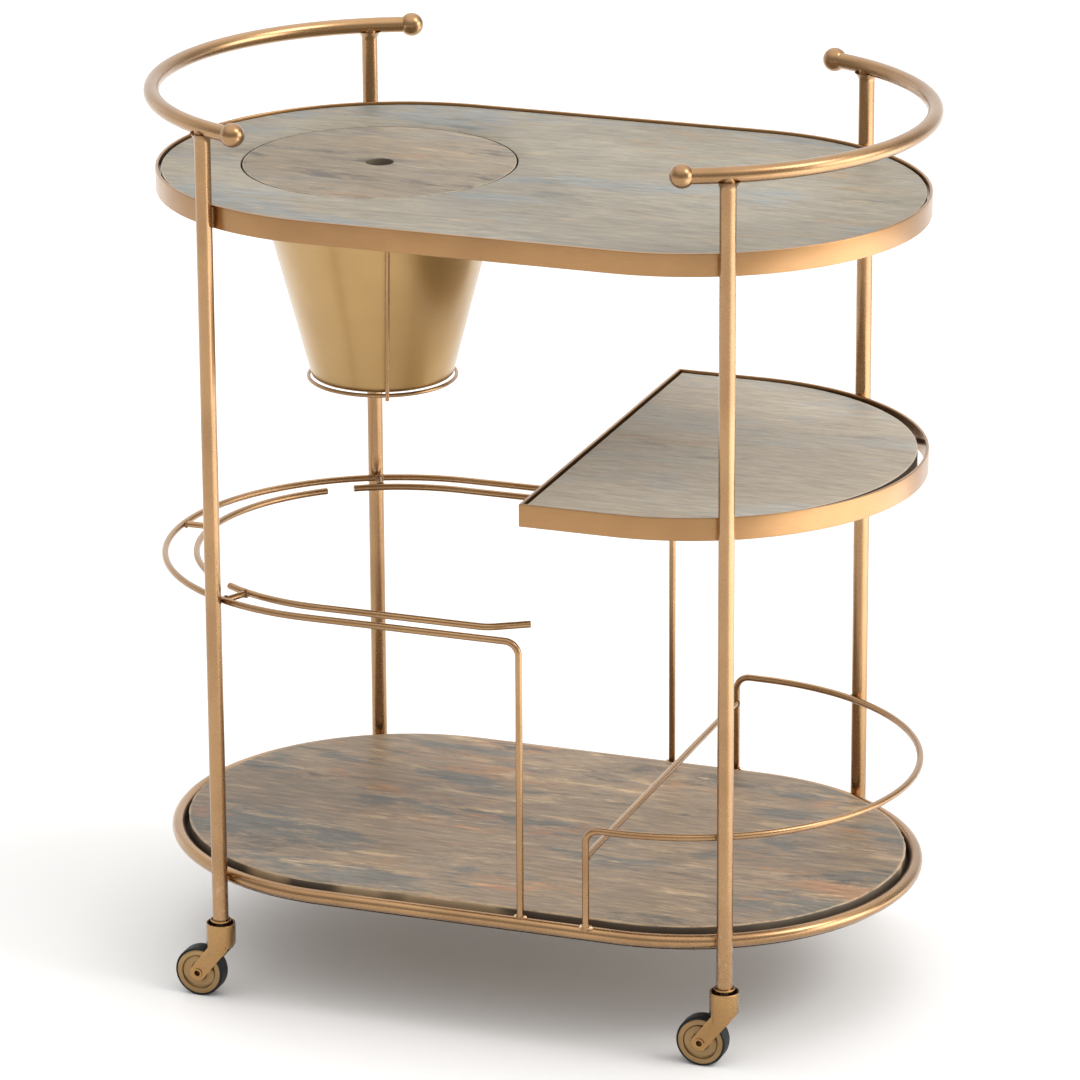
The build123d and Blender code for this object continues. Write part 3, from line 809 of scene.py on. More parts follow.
@dataclass
class Workshop:
    """The recipes and finishes that every sub-assembly shares."""

    bars: GeometryRecipe = field(default_factory=bar_recipe)
    welds: GeometryRecipe = field(default_factory=weld_recipe)
    scatter: GeometryRecipe = field(default_factory=scatter_recipe)
    brass: Metal = Metal(
        "antique_brass", "frame_brass", (0.405, 0.236, 0.108), (0.215, 0.112, 0.044), 0.25, mottle=0.55
    )
    post_brass: Metal = Metal(
        "post_brass", "frame_brass", (0.405, 0.236, 0.108), (0.235, 0.125, 0.050), 0.25,
        mottle=0.5, foot_dust=0.22,
    )
    band_brass: Metal = Metal(
        "band_brass", "frame_brass", (0.380, 0.205, 0.080), (0.250, 0.130, 0.048), 0.30,
        grain=(60.0, 60.0, 1600.0), grain_depth=0.03, mottle=0.45,
    )
    weld_brass: Metal = Metal(
        "weld_brass", "frame_brass", (0.40, 0.23, 0.10), (0.12, 0.060, 0.026), 0.26, mottle=0.9
    )
    # painted highlight: the drops' brass is far lighter than the frame's, for the glints on them; their low
    # roughness is their own
    drop_brass: Metal = Metal(
        "drop_brass", "frame_brass", (0.80, 0.60, 0.40), (0.30, 0.17, 0.08), 0.18, mottle=0.6
    )
    bucket_brass: Metal = Metal(
        "bucket_brass", "bucket_brass", (0.455, 0.288, 0.112), (0.36, 0.215, 0.073), 0.30,
        grain=(14.0, 14.0, 2600.0), grain_depth=0.02, mottle=0.35,
    )
    caster_brass: Metal = Metal(
        "caster_brass", "caster_brass", (0.42, 0.240, 0.088), (0.24, 0.120, 0.036), 0.25
    )
    disc_gold: Metal = Metal(
        "disc_gold", "wheel_disc", (0.34, 0.212, 0.088), (0.17, 0.100, 0.040), 0.30, mottle=0.6
    )
    # painted shade: near-black brass on the tabs and ledge under the boards, so the gaps round the boards
    # read dark
    shade_brass: Metal = Metal(
        "shade_brass", "frame_brass", (0.060, 0.038, 0.020), (0.035, 0.022, 0.012), 0.55, lacquer=0.0
    )
    zinc: Metal = Metal("zinc", "zinc_screw", (0.62, 0.62, 0.60), (0.44, 0.44, 0.43), 0.38)
    rubber: Rubber = Rubber("tyre_rubber", "tyre_rubber")
    top_wood: WashedWood = WashedWood(
        "top_wood", "washed_wood",
        wash=(0.275, 0.243, 0.188), blue=(0.235, 0.242, 0.230), beige=(0.37, 0.295, 0.19),
        tan=(0.34, 0.225, 0.120), slate=(0.135, 0.130, 0.118), edge=(0.50, 0.42, 0.31),
        shares=(0.95, 0.75, 0.65, 0.75), spread=(0.62, 0.38, 0.28, 0.42), contrast=1.0,
    )
    # painted light: the half shelf's colours are far lighter than the top's, to make up for the top board's
    # shadow on it; its pinker tone is its own
    half_wood: WashedWood = WashedWood(
        "half_shelf_wood", "washed_wood",
        wash=(0.47, 0.405, 0.320), blue=(0.43, 0.415, 0.380), beige=(0.62, 0.50, 0.36),
        tan=(0.50, 0.345, 0.215), slate=(0.24, 0.205, 0.175), edge=(0.62, 0.54, 0.42),
        shares=(0.85, 0.70, 0.60, 0.65), spread=(0.60, 0.34, 0.26, 0.40), contrast=0.85,
        shift=(1.3, 0.4, 0.0),
    )
    lid_wood: WashedWood = WashedWood(
        "lid_wood", "washed_wood",
        wash=(0.250, 0.200, 0.140), blue=(0.205, 0.190, 0.160), beige=(0.36, 0.265, 0.16),
        tan=(0.27, 0.165, 0.090), slate=(0.080, 0.069, 0.058), edge=(0.44, 0.37, 0.27),
        # painted shade on the lid's sides, lighter than on the boards
        flank=(0.14, 0.11, 0.08),
        shares=(0.85, 0.75, 0.85, 0.70), spread=(0.50, 0.46, 0.52, 0.44), contrast=1.2,
        shift=(2.9, 1.6, 0.0), turn=math.radians(4),
    )
    bottom_wood: WashedWood = WashedWood(
        "bottom_wood", "dark_washed_wood",
        wash=(0.275, 0.195, 0.122), blue=(0.130, 0.128, 0.112), beige=(0.56, 0.39, 0.215),
        tan=(0.43, 0.205, 0.085), slate=(0.062, 0.057, 0.050), edge=(0.46, 0.33, 0.20),
        shares=(0.88, 0.70, 0.75, 0.62), spread=(0.66, 0.50, 0.42, 0.52), contrast=1.35,
        knots=0.22, rubbed=0.8, shift=(0.7, 2.1, 0.0), roughness=0.42,
    )
    made: dict[str, bpy.types.Material] = field(default_factory=dict)

    def finish(self, finish: Finish) -> bpy.types.Material:
        """A finish's material, built the first time that it is asked for."""
        if finish.name not in self.made:
            self.made[finish.name] = finish.material()
        return self.made[finish.name]

    def hand_over(
        self,
        piece: bpy.types.Object,
        finish: Finish,
        replaces: Sequence[str] = (),
        body: str = FRAME_BODY,
        crease: float | None = None,
    ) -> None:
        """Dress a piece in a finish and deliver it.

        Args:
            piece: the piece.
            finish: what it is finished in.
            replaces: the CAD nodes that it stands for.
            body: the body that it rides on.
            crease: its edges are sharp where its faces turn by more than this, in degrees.
        """
        if crease is not None:
            creased(piece, crease)
        fitted(piece, self.finish(finish))
        deliver(piece, body, replaces)

    def bar(
        self,
        node: str,
        suffix: str,
        paths: Sequence[Sequence[Vector]],
        radius: float,
        closed: bool = False,
        sides: int = 32,
        metal: Metal | None = None,
    ) -> None:
        """Make round bars that stand for a CAD node, and deliver them on the frame.

        Args:
            node: the CAD node.
            suffix: what the piece's name adds to the node's.
            paths: the bars' centre lines.
            radius: the bars' radius.
            closed: each bar is a closed ring.
            sides: how many sides the round section has.
            metal: what they are finished in; antique brass if None.
        """
        metal = metal or self.brass
        name = f"{node}_{suffix}"
        source = lines(name, paths, closed)
        piece = self.bars.make(name, source, radius=radius, sides=sides, material=self.finish(metal))
        self.hand_over(piece, metal, [node], crease=50.0)


# Sub-assemblies -----------------------------------------------------------------------------------


@dataclass(frozen=True)
class Oval:
    """A level oval, two half circles joined by straight sides."""

    radius: float
    half_straight: float

    @classmethod
    def outside(cls, node: str) -> "Oval":
        """The oval round the outside of a CAD node."""
        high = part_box(node)[1]
        return cls(high.y, high.x - high.y)

    def ring(self, inset: float, z: float, steps: int = 72) -> list[Vector]:
        """Points round the oval, drawn in by an inset.

        Args:
            inset: how far they are drawn in.
            z: their height.
            steps: how many steps there are round each end.

        Returns:
            The points, anticlockwise from the front right.
        """
        right, left = Vector((self.half_straight, 0, z)), Vector((-self.half_straight, 0, z))
        radius = self.radius - inset
        straight = [(i / 12 - 0.5) * 2 * self.half_straight for i in range(1, 12)]
        points = arc(right, radius, -90, 90, steps)
        points += [Vector((-x, radius, z)) for x in straight]
        points += arc(left, radius, 90, 270, steps)
        points += [Vector((x, -radius, z)) for x in straight]
        return points

    def depth(self, point: Vector) -> float:
        """How far inside the oval a point is."""
        beyond = max(abs(point.x) - self.half_straight, 0.0)
        return self.radius - math.hypot(beyond, point.y)


@dataclass(frozen=True)
class HalfOval:
    """The D left of an oval by a straight cut across it."""

    oval: Oval
    edge_x: float

    def ring(self, inset: float, z: float, steps: int = 96) -> list[Vector]:
        """Points round the D, drawn in by an inset, its corners kept square.

        Args:
            inset: how far they are drawn in.
            z: their height.
            steps: how many steps there are round its end.

        Returns:
            The points, anticlockwise from the front corner.
        """
        radius, edge, centre = self.oval.radius - inset, self.edge_x + inset, self.oval.half_straight
        front = [Vector((edge + (centre - edge) * i / 8, -radius, z)) for i in range(8)]
        back = [Vector((p.x, radius, z)) for p in reversed(front)]
        straight = [Vector((edge, radius * (1 - i / 8), z)) for i in range(1, 16)]
        return front + arc(Vector((centre, 0, z)), radius, -90, 90, steps) + back + straight

    def depth(self, point: Vector) -> float:
        """How far inside the D a point is."""
        return min(self.oval.depth(point), point.x - self.edge_x)


@dataclass
class Uprights:
    """The four posts and the two handrails that lie on them, with their ball ends."""

    shop: Workshop
    flare: float = 4.2 * MM
    flare_height: float = 8.0 * MM
    flare_rise: float = 2.2 * MM
    flare_root: float = 0.9
    rail_arc: float = 69.9

    def __post_init__(self) -> None:
        """Read the tube's size and the posts' places off the frame."""
        self.places = {c: middle_of(f"post_{c.label}") for c in Corner}
        self.radius = half_sizes("post_front_left")[0]
        self.foot_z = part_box("post_front_left")[0].z
        low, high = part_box("handrail_right")
        self.rail_z = (low.z + high.z) / 2
        self.rail_end_x = high.x - self.radius

    def build(self) -> None:
        """Build the posts, handrails and balls."""
        for corner, place in self.places.items():
            path = [Vector((place.x, place.y, z)) for z in (self.foot_z, self.rail_z)]
            node = f"post_{corner.label}"
            self.shop.bar(node, "tube", [path], self.radius, sides=48, metal=self.shop.post_brass)
            self.build_flare(corner, place)
        for side, sign in (("left", -1), ("right", 1)):
            self.build_handrail(side, sign)

    def build_flare(self, corner: Corner, place: Vector) -> None:
        """The filled weld that spreads a post's top under its handrail.

        Args:
            corner: the post's corner.
            place: the post's place.
        """
        steps = 8
        root = self.radius * self.flare_root
        section = [(root, -self.flare_height)]
        for i in range(steps + 1):
            t = i / steps
            spread = self.flare * (1 - math.cos(t * math.pi / 2))
            section.append((self.radius + spread, self.flare_height * (t - 1)))
        section.append((root, 0.0))
        centre = Vector((place.x, place.y, self.rail_z - self.radius + self.flare_rise))
        collar = turned(f"post_{corner.label}_flare", section, centre, segments=64, loop=True)
        self.shop.hand_over(collar, self.shop.brass, crease=35.0)

    def build_handrail(self, side: str, sign: int) -> None:
        """One handrail and its two balls.

        Args:
            side: left or right, as the CAD nodes spell it.
            sign: the side's sign along X.
        """
        post = self.places[Corner.FRONT_RIGHT]
        reach = self.rail_end_x
        centre_x = (reach**2 - post.x**2 - post.y**2) / (2 * (reach - post.x))
        middle = 90 - 90 * sign
        centre = Vector((sign * centre_x, 0, self.rail_z))
        path = arc(centre, reach - centre_x, middle - self.rail_arc, middle + self.rail_arc, 96)
        self.shop.bar(f"handrail_{side}", "tube", [path], self.radius, sides=48)
        for end in (path[0], path[-1]):
            self.build_ball(f"rail_ball_{'front' if end.y < 0 else 'back'}_{side}")

    def build_ball(self, node: str) -> None:
        """One ball on a handrail's end."""
        radius = half_sizes(node)[2]
        steps = 28
        angles = [math.pi * i / steps for i in range(1, steps)]
        section = [(0.0, -radius)]
        section += [(radius * math.sin(a), -radius * math.cos(a)) for a in angles]
        section += [(0.0, radius)]
        ball = turned(f"{node}_turned", section, middle_of(node), segments=56)
        self.shop.hand_over(ball, self.shop.brass, [node])


@dataclass
class Shelf:
    """A band or tube hoop with its board in it."""

    shop: Workshop
    hoop: str
    board: str
    outline: Oval | HalfOval
    finish: WashedWood
    band: float = 3.0 * MM
    soft_edge: float = 0.9 * MM
    rim: float = 3.0 * MM
    border: float = 12.0 * MM
    ragged: float = 0.0
    chip_scale: float = 140.0
    splinter_scale: float = 420.0
    splinter_share: float = 0.6
    hole: tuple[Vector, float] | None = None
    hole_ease: float = 0.5 * MM
    hole_overrun: float = 5.0 * MM

    def build_band(self) -> None:
        """The flat band, on edge, with its corners eased."""
        low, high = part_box(self.hoop)
        square = [(0.0, low.z), (0.0, high.z), (self.band, high.z), (self.band, low.z)]
        rings = [self.outline.ring(inset, z) for inset, z in rounded(square, self.soft_edge)]
        band = loft(f"{self.hoop}_band", rings, closed=True)
        self.shop.hand_over(band, self.shop.band_brass, [self.hoop], crease=40.0)

    def build_tube(self) -> None:
        """The closed ring of round tube."""
        low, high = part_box(self.hoop)
        radius = (high.z - low.z) / 2
        path = self.outline.ring(radius, (low.z + high.z) / 2)
        self.shop.bar(self.hoop, "tube", [path], radius, closed=True, sides=40)

    def build_board(self, outline: Oval | HalfOval) -> None:
        """The board, its top edge eased, its rim ragged where the board is rough sawn.

        Args:
            outline: the board's own outline.
        """
        low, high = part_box(self.board)
        square = [
            (self.border, low.z),
            (0.0, low.z),
            (0.0, high.z),
            (self.rim + 1 * MM, high.z),
            (self.border, high.z),
        ]
        section = rounded(square, self.soft_edge, closed=False)
        rings = [outline.ring(inset, z) for inset, z in section]
        if self.ragged:
            rings = [[self.chipped(p, i, len(rings)) for p in ring] for i, ring in enumerate(rings)]
        board = loft(f"{self.board}_planks", rings)
        if self.hole is not None:
            self.cut_hole(board, low.z, high.z)
        mark_rim(board, outline.depth, self.rim)
        self.shop.hand_over(board, self.finish, [self.board], crease=50.0)

    def chipped(self, point: Vector, ring: int, rings: int) -> Vector:
        """A point of the rim, knocked in a little; the first and last rings stay as they are.

        Args:
            point: the point.
            ring: the number of its ring.
            rings: how many rings there are.

        Returns:
            The point's new place.
        """
        if ring in (0, rings - 1):
            return point
        splinter = noise.noise(point * self.splinter_scale)
        bite = noise.noise(point * self.chip_scale) + self.splinter_share * splinter
        inward = Vector((-point.x, -point.y, 0)).normalized()
        return point + inward * self.ragged * max(bite, 0.0)

    def cut_hole(self, board: bpy.types.Object, bottom: float, top: float) -> None:
        """Take a round hole through a board, with its top edge eased.

        Args:
            board: the board.
            bottom: the height of its underside.
            top: the height of its top.
        """
        centre, radius = self.hole
        ease, overrun = self.hole_ease, self.hole_overrun
        section = [
            (0.0, bottom - overrun),
            (radius, bottom - overrun),
            (radius, top - ease),
            (radius + ease, top),
            (radius + ease, top + overrun),
            (0.0, top + overrun),
        ]
        cut_away(board, turned("cutter", section, centre, segments=144))


@dataclass
class RodWork:
    """The stem rack and the bottle gallery."""

    shop: Workshop
    bend: float = 14.0 * MM
    side_rod_angle: float = 57.0
    end_rod_angle: float = 48.6
    spreader_angle: float = 65.3
    tip_straight_x: float = 14.0 * MM
    tip_x: float = 51.0 * MM
    tip_in: float = 23.0 * MM
    tip_bend: float = 8.0 * MM
    foot_sink: float = 3.0 * MM
    short_rod_share: float = 0.94

    def __post_init__(self) -> None:
        """Read the rods' size and places off the frame."""
        low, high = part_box("rack_inner_rod_end")
        self.radius = (high.z - low.z) / 2
        self.rack_z = (low.z + high.z) / 2
        self.rack_low, self.rack_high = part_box("rack_outer_rod")
        self.outer_radius = self.rack_high.y - self.radius
        self.end_x = self.rack_low.x + self.radius + self.outer_radius
        self.inner_radius = self.end_x - low.x - self.radius
        self.hoop_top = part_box("bottom_hoop")[1].z

    def legged_path(self, node: str, side: int) -> list[Vector]:
        """The line of a rail round one end of the cart, bent down at both ends into legs.

        Args:
            node: the rail's CAD node.
            side: the sign along X of the end that it goes round.

        Returns:
            Its points, from the front foot to the back one.
        """
        low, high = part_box(node)
        r = self.radius
        leg_x = (high.x - r) if side < 0 else (low.x + r)
        radius, z = high.y - r, high.z - r
        end_x = (low.x + r + radius) if side < 0 else (high.x - r - radius)
        foot = self.hoop_top - self.foot_sink
        points: list[Vector] = []
        for sign in (-1, 1):
            corner = Vector((leg_x, sign * radius, z))
            base = Vector((leg_x, sign * radius, foot))
            leg = [base, *bent(base, corner, Vector((end_x, sign * radius, z)), self.bend)]
            if sign < 0:
                start, end = (270, 90) if side < 0 else (-90, 90)
                points = leg + arc(Vector((end_x, 0, z)), radius, start, end, 96)
            else:
                points += reversed(leg)
        return points

    def build_rack(self) -> None:
        """The stem rack's outer rod, inner rods and spreaders."""
        self.shop.bar("rack_outer_rod", "bent", [self.legged_path("rack_outer_rod", -1)], self.radius)
        centre = Vector((self.end_x, 0, self.rack_z))
        for row, sign in (("front", -1), ("back", 1)):
            start, end = 180 - sign * self.side_rod_angle, 180 - sign * 90
            path = arc(centre, self.inner_radius, start, end, 24)
            y = sign * self.inner_radius
            path += self.kink(Vector((self.tip_straight_x, y, self.rack_z)), sign)
            self.shop.bar(f"rack_inner_rod_{row}", "bent", [path], self.radius)
        path = arc(centre, self.inner_radius, 180 - self.end_rod_angle, 180 + self.end_rod_angle, 48)
        self.shop.bar("rack_inner_rod_end", "bent", [path], self.radius)
        short_radius = self.radius * self.short_rod_share
        self.shop.bar("rack_spreaders", "cut", self.spreader_paths(), short_radius)

    def kink(self, corner: Vector, sign: int) -> list[Vector]:
        """The end of a front or back inner rod, where it turns in to its tip.

        Args:
            corner: where it would turn if it were not bent in a curve.
            sign: the rod's sign along Y.

        Returns:
            Its points, tip last.
        """
        tip = Vector((self.tip_x, corner.y - sign * self.tip_in, corner.z))
        start = corner - Vector((self.tip_bend, 0, 0))
        end = corner + (tip - corner).normalized() * self.tip_bend
        return eased(start, corner, end, 8) + [tip]

    def spreader_paths(self) -> list[list[Vector]]:
        """The lines of the short rods between the outer and inner rods."""
        centre = Vector((self.end_x, 0, self.rack_z))
        angles = (180 - self.spreader_angle, 180.0, 180 + self.spreader_angle)
        return [[polar(centre, r, a) for r in (self.inner_radius, self.outer_radius)] for a in angles]

    def build_gallery(self) -> None:
        """The gallery's rail and its cross bar."""
        self.shop.bar("gallery_rail", "bent", [self.legged_path("gallery_rail", 1)], self.radius)
        low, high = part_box("gallery_cross_bar")
        x, z = (low.x + high.x) / 2, (low.z + high.z) / 2
        overlap = self.radius / 2
        path = [Vector((x, y, z)) for y in (low.y - overlap, high.y + overlap)]
        self.shop.bar("gallery_cross_bar", "cut", [path], self.radius * self.short_rod_share)


@dataclass
class IceBucket:
    """The loose bucket, the wooden lid on it and the wire cradle round it."""

    shop: Workshop
    base_radius: float = 71.5 * MM
    slope: float = 0.26
    wall: float = 1.2 * MM
    flange: float = 1.5 * MM
    base_rise: float = 1.6 * MM
    foot_inner: float = 9.0 * MM
    foot_outer: float = 7.0 * MM
    bucket_ease: float = 2.4 * MM
    lid_step: float = 4.0 * MM
    lid_shrink: float = 0.6 * MM
    lid_step_radius: float = 118.5 * MM
    lid_ease: float = 1.1 * MM
    lid_rim: float = 2.5 * MM
    finger_hole: float = 14.0 * MM
    wire_at_ring: float = 78.3 * MM
    wire_end_gap: float = 0.4 * MM
    wire_angles: tuple[float, ...] = (-65.0, 115.0)

    def build_bucket(self) -> None:
        """The tapered shell with its flange."""
        base, top = (corner.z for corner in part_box("ice_bucket"))
        flange_radius = half_sizes("ice_bucket")[0]
        foot, wall = self.base_radius, self.wall
        rim = foot + self.slope * (top - base)
        dish = base + self.base_rise
        outline = [
            (0.0, dish),
            (foot - self.foot_inner, dish),
            (foot - self.foot_outer, base),
            (foot, base),
            (rim - self.slope * self.flange, top - self.flange),
            (flange_radius, top - self.flange),
            (flange_radius, top),
            (rim - wall, top),
            (foot - wall, base + wall + self.base_rise),
            (0.0, base + wall + self.base_rise),
        ]
        section = rounded(outline, self.bucket_ease, closed=False)
        shell = turned("ice_bucket_spun", section, axis_at("ice_bucket"), segments=160)
        self.shop.hand_over(shell, self.shop.bucket_brass, ["ice_bucket"], "bucket", crease=45.0)

    def build_lid(self) -> None:
        """The wooden lid, with its step below and the finger hole through it."""
        low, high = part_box("lid")
        centre = axis_at("lid")
        radius, shoulder = half_sizes("lid")[0] - self.lid_shrink, low.z + self.lid_step
        outline = [
            (self.finger_hole, low.z),
            (self.lid_step_radius, low.z),
            (self.lid_step_radius, shoulder),
            (radius, shoulder),
            (radius, high.z),
            (radius - 3 * MM, high.z),
            (self.finger_hole, high.z),
        ]
        lid = turned("lid_turned", rounded(outline, self.lid_ease), centre, segments=160, loop=True)
        mark_rim(lid, lambda p: radius - math.hypot(p.x - centre.x, p.y), self.lid_rim)
        self.shop.hand_over(lid, self.shop.lid_wood, ["lid"], "lid", crease=50.0)

    def build_cradle(self) -> None:
        """The ring and the sloped wires that stand clear of the bucket."""
        outer_radius, _, wire = half_sizes("cradle_ring")
        centre = middle_of("cradle_ring")
        ring_path = arc(centre, outer_radius - wire, 0, 357.5, 143)
        self.shop.bar("cradle_ring", "bent", [ring_path], wire, closed=True, sides=20)
        bottom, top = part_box("cradle_wires")[0].z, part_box("seat_ring")[0].z
        heights = (bottom + self.wire_end_gap, top)
        paths = [
            [
                polar(Vector((centre.x, 0, z)), self.wire_at_ring + self.slope * (z - centre.z), angle)
                for z in heights
            ]
            for angle in self.wire_angles
        ]
        self.shop.bar("cradle_wires", "cut", paths, wire, sides=20)


@dataclass
class Caster:
    """One caster: socket collar, stamped housing, hollow rivet, wheel disc and tyre."""

    shop: Workshop
    corner: Corner
    post: Vector
    hub_radius: float = 8.5 * MM
    bore_radius: float = 4.05 * MM
    bevel: float = 0.45 * MM
    collar_gap: float = 0.1 * MM
    collar_ease: float = 0.8 * MM
    plug_share: float = 0.62
    plug_height: float = 6.0 * MM
    rivet_play: float = 0.05 * MM
    rivet_bore: float = 2.9 * MM
    rivet_head: float = 0.9 * MM
    rivet_ease: float = 0.7 * MM
    web: float = 5.9 * MM
    dish_radius: float = 12.5 * MM
    groove_radius: float = 17.0 * MM
    groove_width: float = 1.6 * MM
    disc_ease: float = 0.5 * MM
    tyre_depth: float = 2.9 * MM
    tyre_lip: float = 1.1 * MM
    tyre_shoulder: float = 1.6 * MM
    tyre_ease: float = 0.9 * MM

    def __post_init__(self) -> None:
        """Name the caster's bodies, and find its wheel's centre."""
        self.label = self.corner.label
        self.swivel = f"caster_{self.label}"
        self.wheel_set = f"wheel_set_{self.label}"
        self.centre = middle_of(f"tyre_{self.label}")

    def build(self) -> None:
        """Build the caster's pieces."""
        self.build_housing()
        self.build_collar()
        self.build_axle()
        self.build_disc()
        self.build_tyre()

    def build_housing(self) -> None:
        """The cup and its two legs: the CAD shape, merged, with its edges eased."""
        node = f"housing_{self.label}"
        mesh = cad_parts[node].data.copy()
        piece = show(f"{node}_stamped", mesh)
        work = bmesh.new()
        work.from_mesh(mesh)
        bmesh.ops.remove_doubles(work, verts=work.verts, dist=5e-6)
        bmesh.ops.dissolve_limit(work, angle_limit=math.radians(1.0), verts=work.verts, edges=work.edges)
        for face in work.faces:
            face.smooth = True
        work.to_mesh(mesh)
        work.free()
        ease = piece.modifiers.new("ease", "BEVEL")
        ease.width = self.bevel
        ease.segments = 2
        ease.limit_method = "ANGLE"
        ease.angle_limit = math.radians(40)
        ease.use_clamp_overlap = True
        piece.data = evaluated_mesh(piece)
        piece.modifiers.clear()
        self.shop.hand_over(piece, self.shop.caster_brass, [node], self.swivel, crease=35.0)

    def build_collar(self) -> None:
        """The socket in the post's end, with the collar that shows over the cup."""
        node = f"socket_{self.label}"
        low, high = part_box(node)
        radius = (high.x - low.x) / 2
        plug = radius * self.plug_share
        shoulder, top = self.post.z - self.collar_gap, self.post.z + self.plug_height
        outline = [
            (self.bore_radius, low.z),
            (radius, low.z),
            (radius, shoulder),
            (plug, shoulder),
            (plug, top),
            (self.bore_radius, top),
        ]
        centre = Vector((self.post.x, self.post.y, 0))
        section = rounded(outline, self.collar_ease)
        collar = turned(f"{node}_turned", section, centre, segments=64, loop=True)
        self.shop.hand_over(collar, self.shop.caster_brass, [node], crease=45.0)

    def build_axle(self) -> None:
        """The hollow rivet, its rims rolled over the legs."""
        node = f"axle_{self.label}"
        _, half, rim = half_sizes(node)
        shank, inner = self.bore_radius - self.rivet_play, half - self.rivet_head
        outline = [
            (self.rivet_bore, -half),
            (rim, -half),
            (rim, -inner),
            (shank, -inner),
            (shank, inner),
            (rim, inner),
            (rim, half),
            (self.rivet_bore, half),
        ]
        section = rounded(outline, self.rivet_ease)
        rivet = turned(f"{node}_rivet", section, self.centre, Axis.ACROSS, 48, loop=True)
        self.shop.hand_over(rivet, self.shop.caster_brass, [node], self.swivel, crease=50.0)

    def build_disc(self) -> None:
        """The wheel disc: hub, dished web, groove and raised rim, the same on both faces."""
        node = f"wheel_{self.label}"
        _, half, edge = half_sizes(node)
        face, web = half - 0.6 * MM, self.web
        hub, groove, width = self.hub_radius, self.groove_radius, self.groove_width
        one_side = [
            (self.bore_radius, half),
            (hub - 1.2 * MM, half),
            (hub, half - 1.0 * MM),
            (hub + 0.8 * MM, web + 0.8 * MM),
            (self.dish_radius, web),
            (groove - width, web + 0.4 * MM),
            (groove, web + 1.0 * MM),
            (groove + 0.9 * MM, face),
            (groove + width, face + 0.3 * MM),
            (edge - 1.0 * MM, face + 0.1 * MM),
            (edge - 0.1 * MM, face - 0.9 * MM),
            (edge - 1.0 * MM, face - 1.6 * MM),
        ]
        outline = one_side + [(r, -h) for r, h in reversed(one_side)]
        section = rounded(outline, self.disc_ease, steps=2)
        disc = turned(f"{node}_disc", section, self.centre, Axis.ACROSS, 80, loop=True)
        self.shop.hand_over(disc, self.shop.disc_gold, [node], self.wheel_set, crease=50.0)

    def build_tyre(self) -> None:
        """The rubber tyre, its tread flat between two rounded shoulders."""
        node = f"tyre_{self.label}"
        _, half, radius = half_sizes(node)
        seat, lip, shoulder = radius - self.tyre_depth, self.tyre_lip, self.tyre_shoulder
        outline = [
            (seat, -half + 1.3 * MM),
            (seat + lip, -half),
            (radius - 0.7 * MM, -half),
            (radius, -half + shoulder),
            (radius, 0.0),
            (radius, half - shoulder),
            (radius - 0.7 * MM, half),
            (seat + lip, half),
            (seat, half - 1.3 * MM),
        ]
        section = rounded(outline, self.tyre_ease, steps=3)
        tyre = turned(f"{node}_band", section, self.centre, Axis.ACROSS, 96, loop=True)
        self.shop.hand_over(tyre, self.shop.rubber, [node], self.wheel_set, crease=60.0)


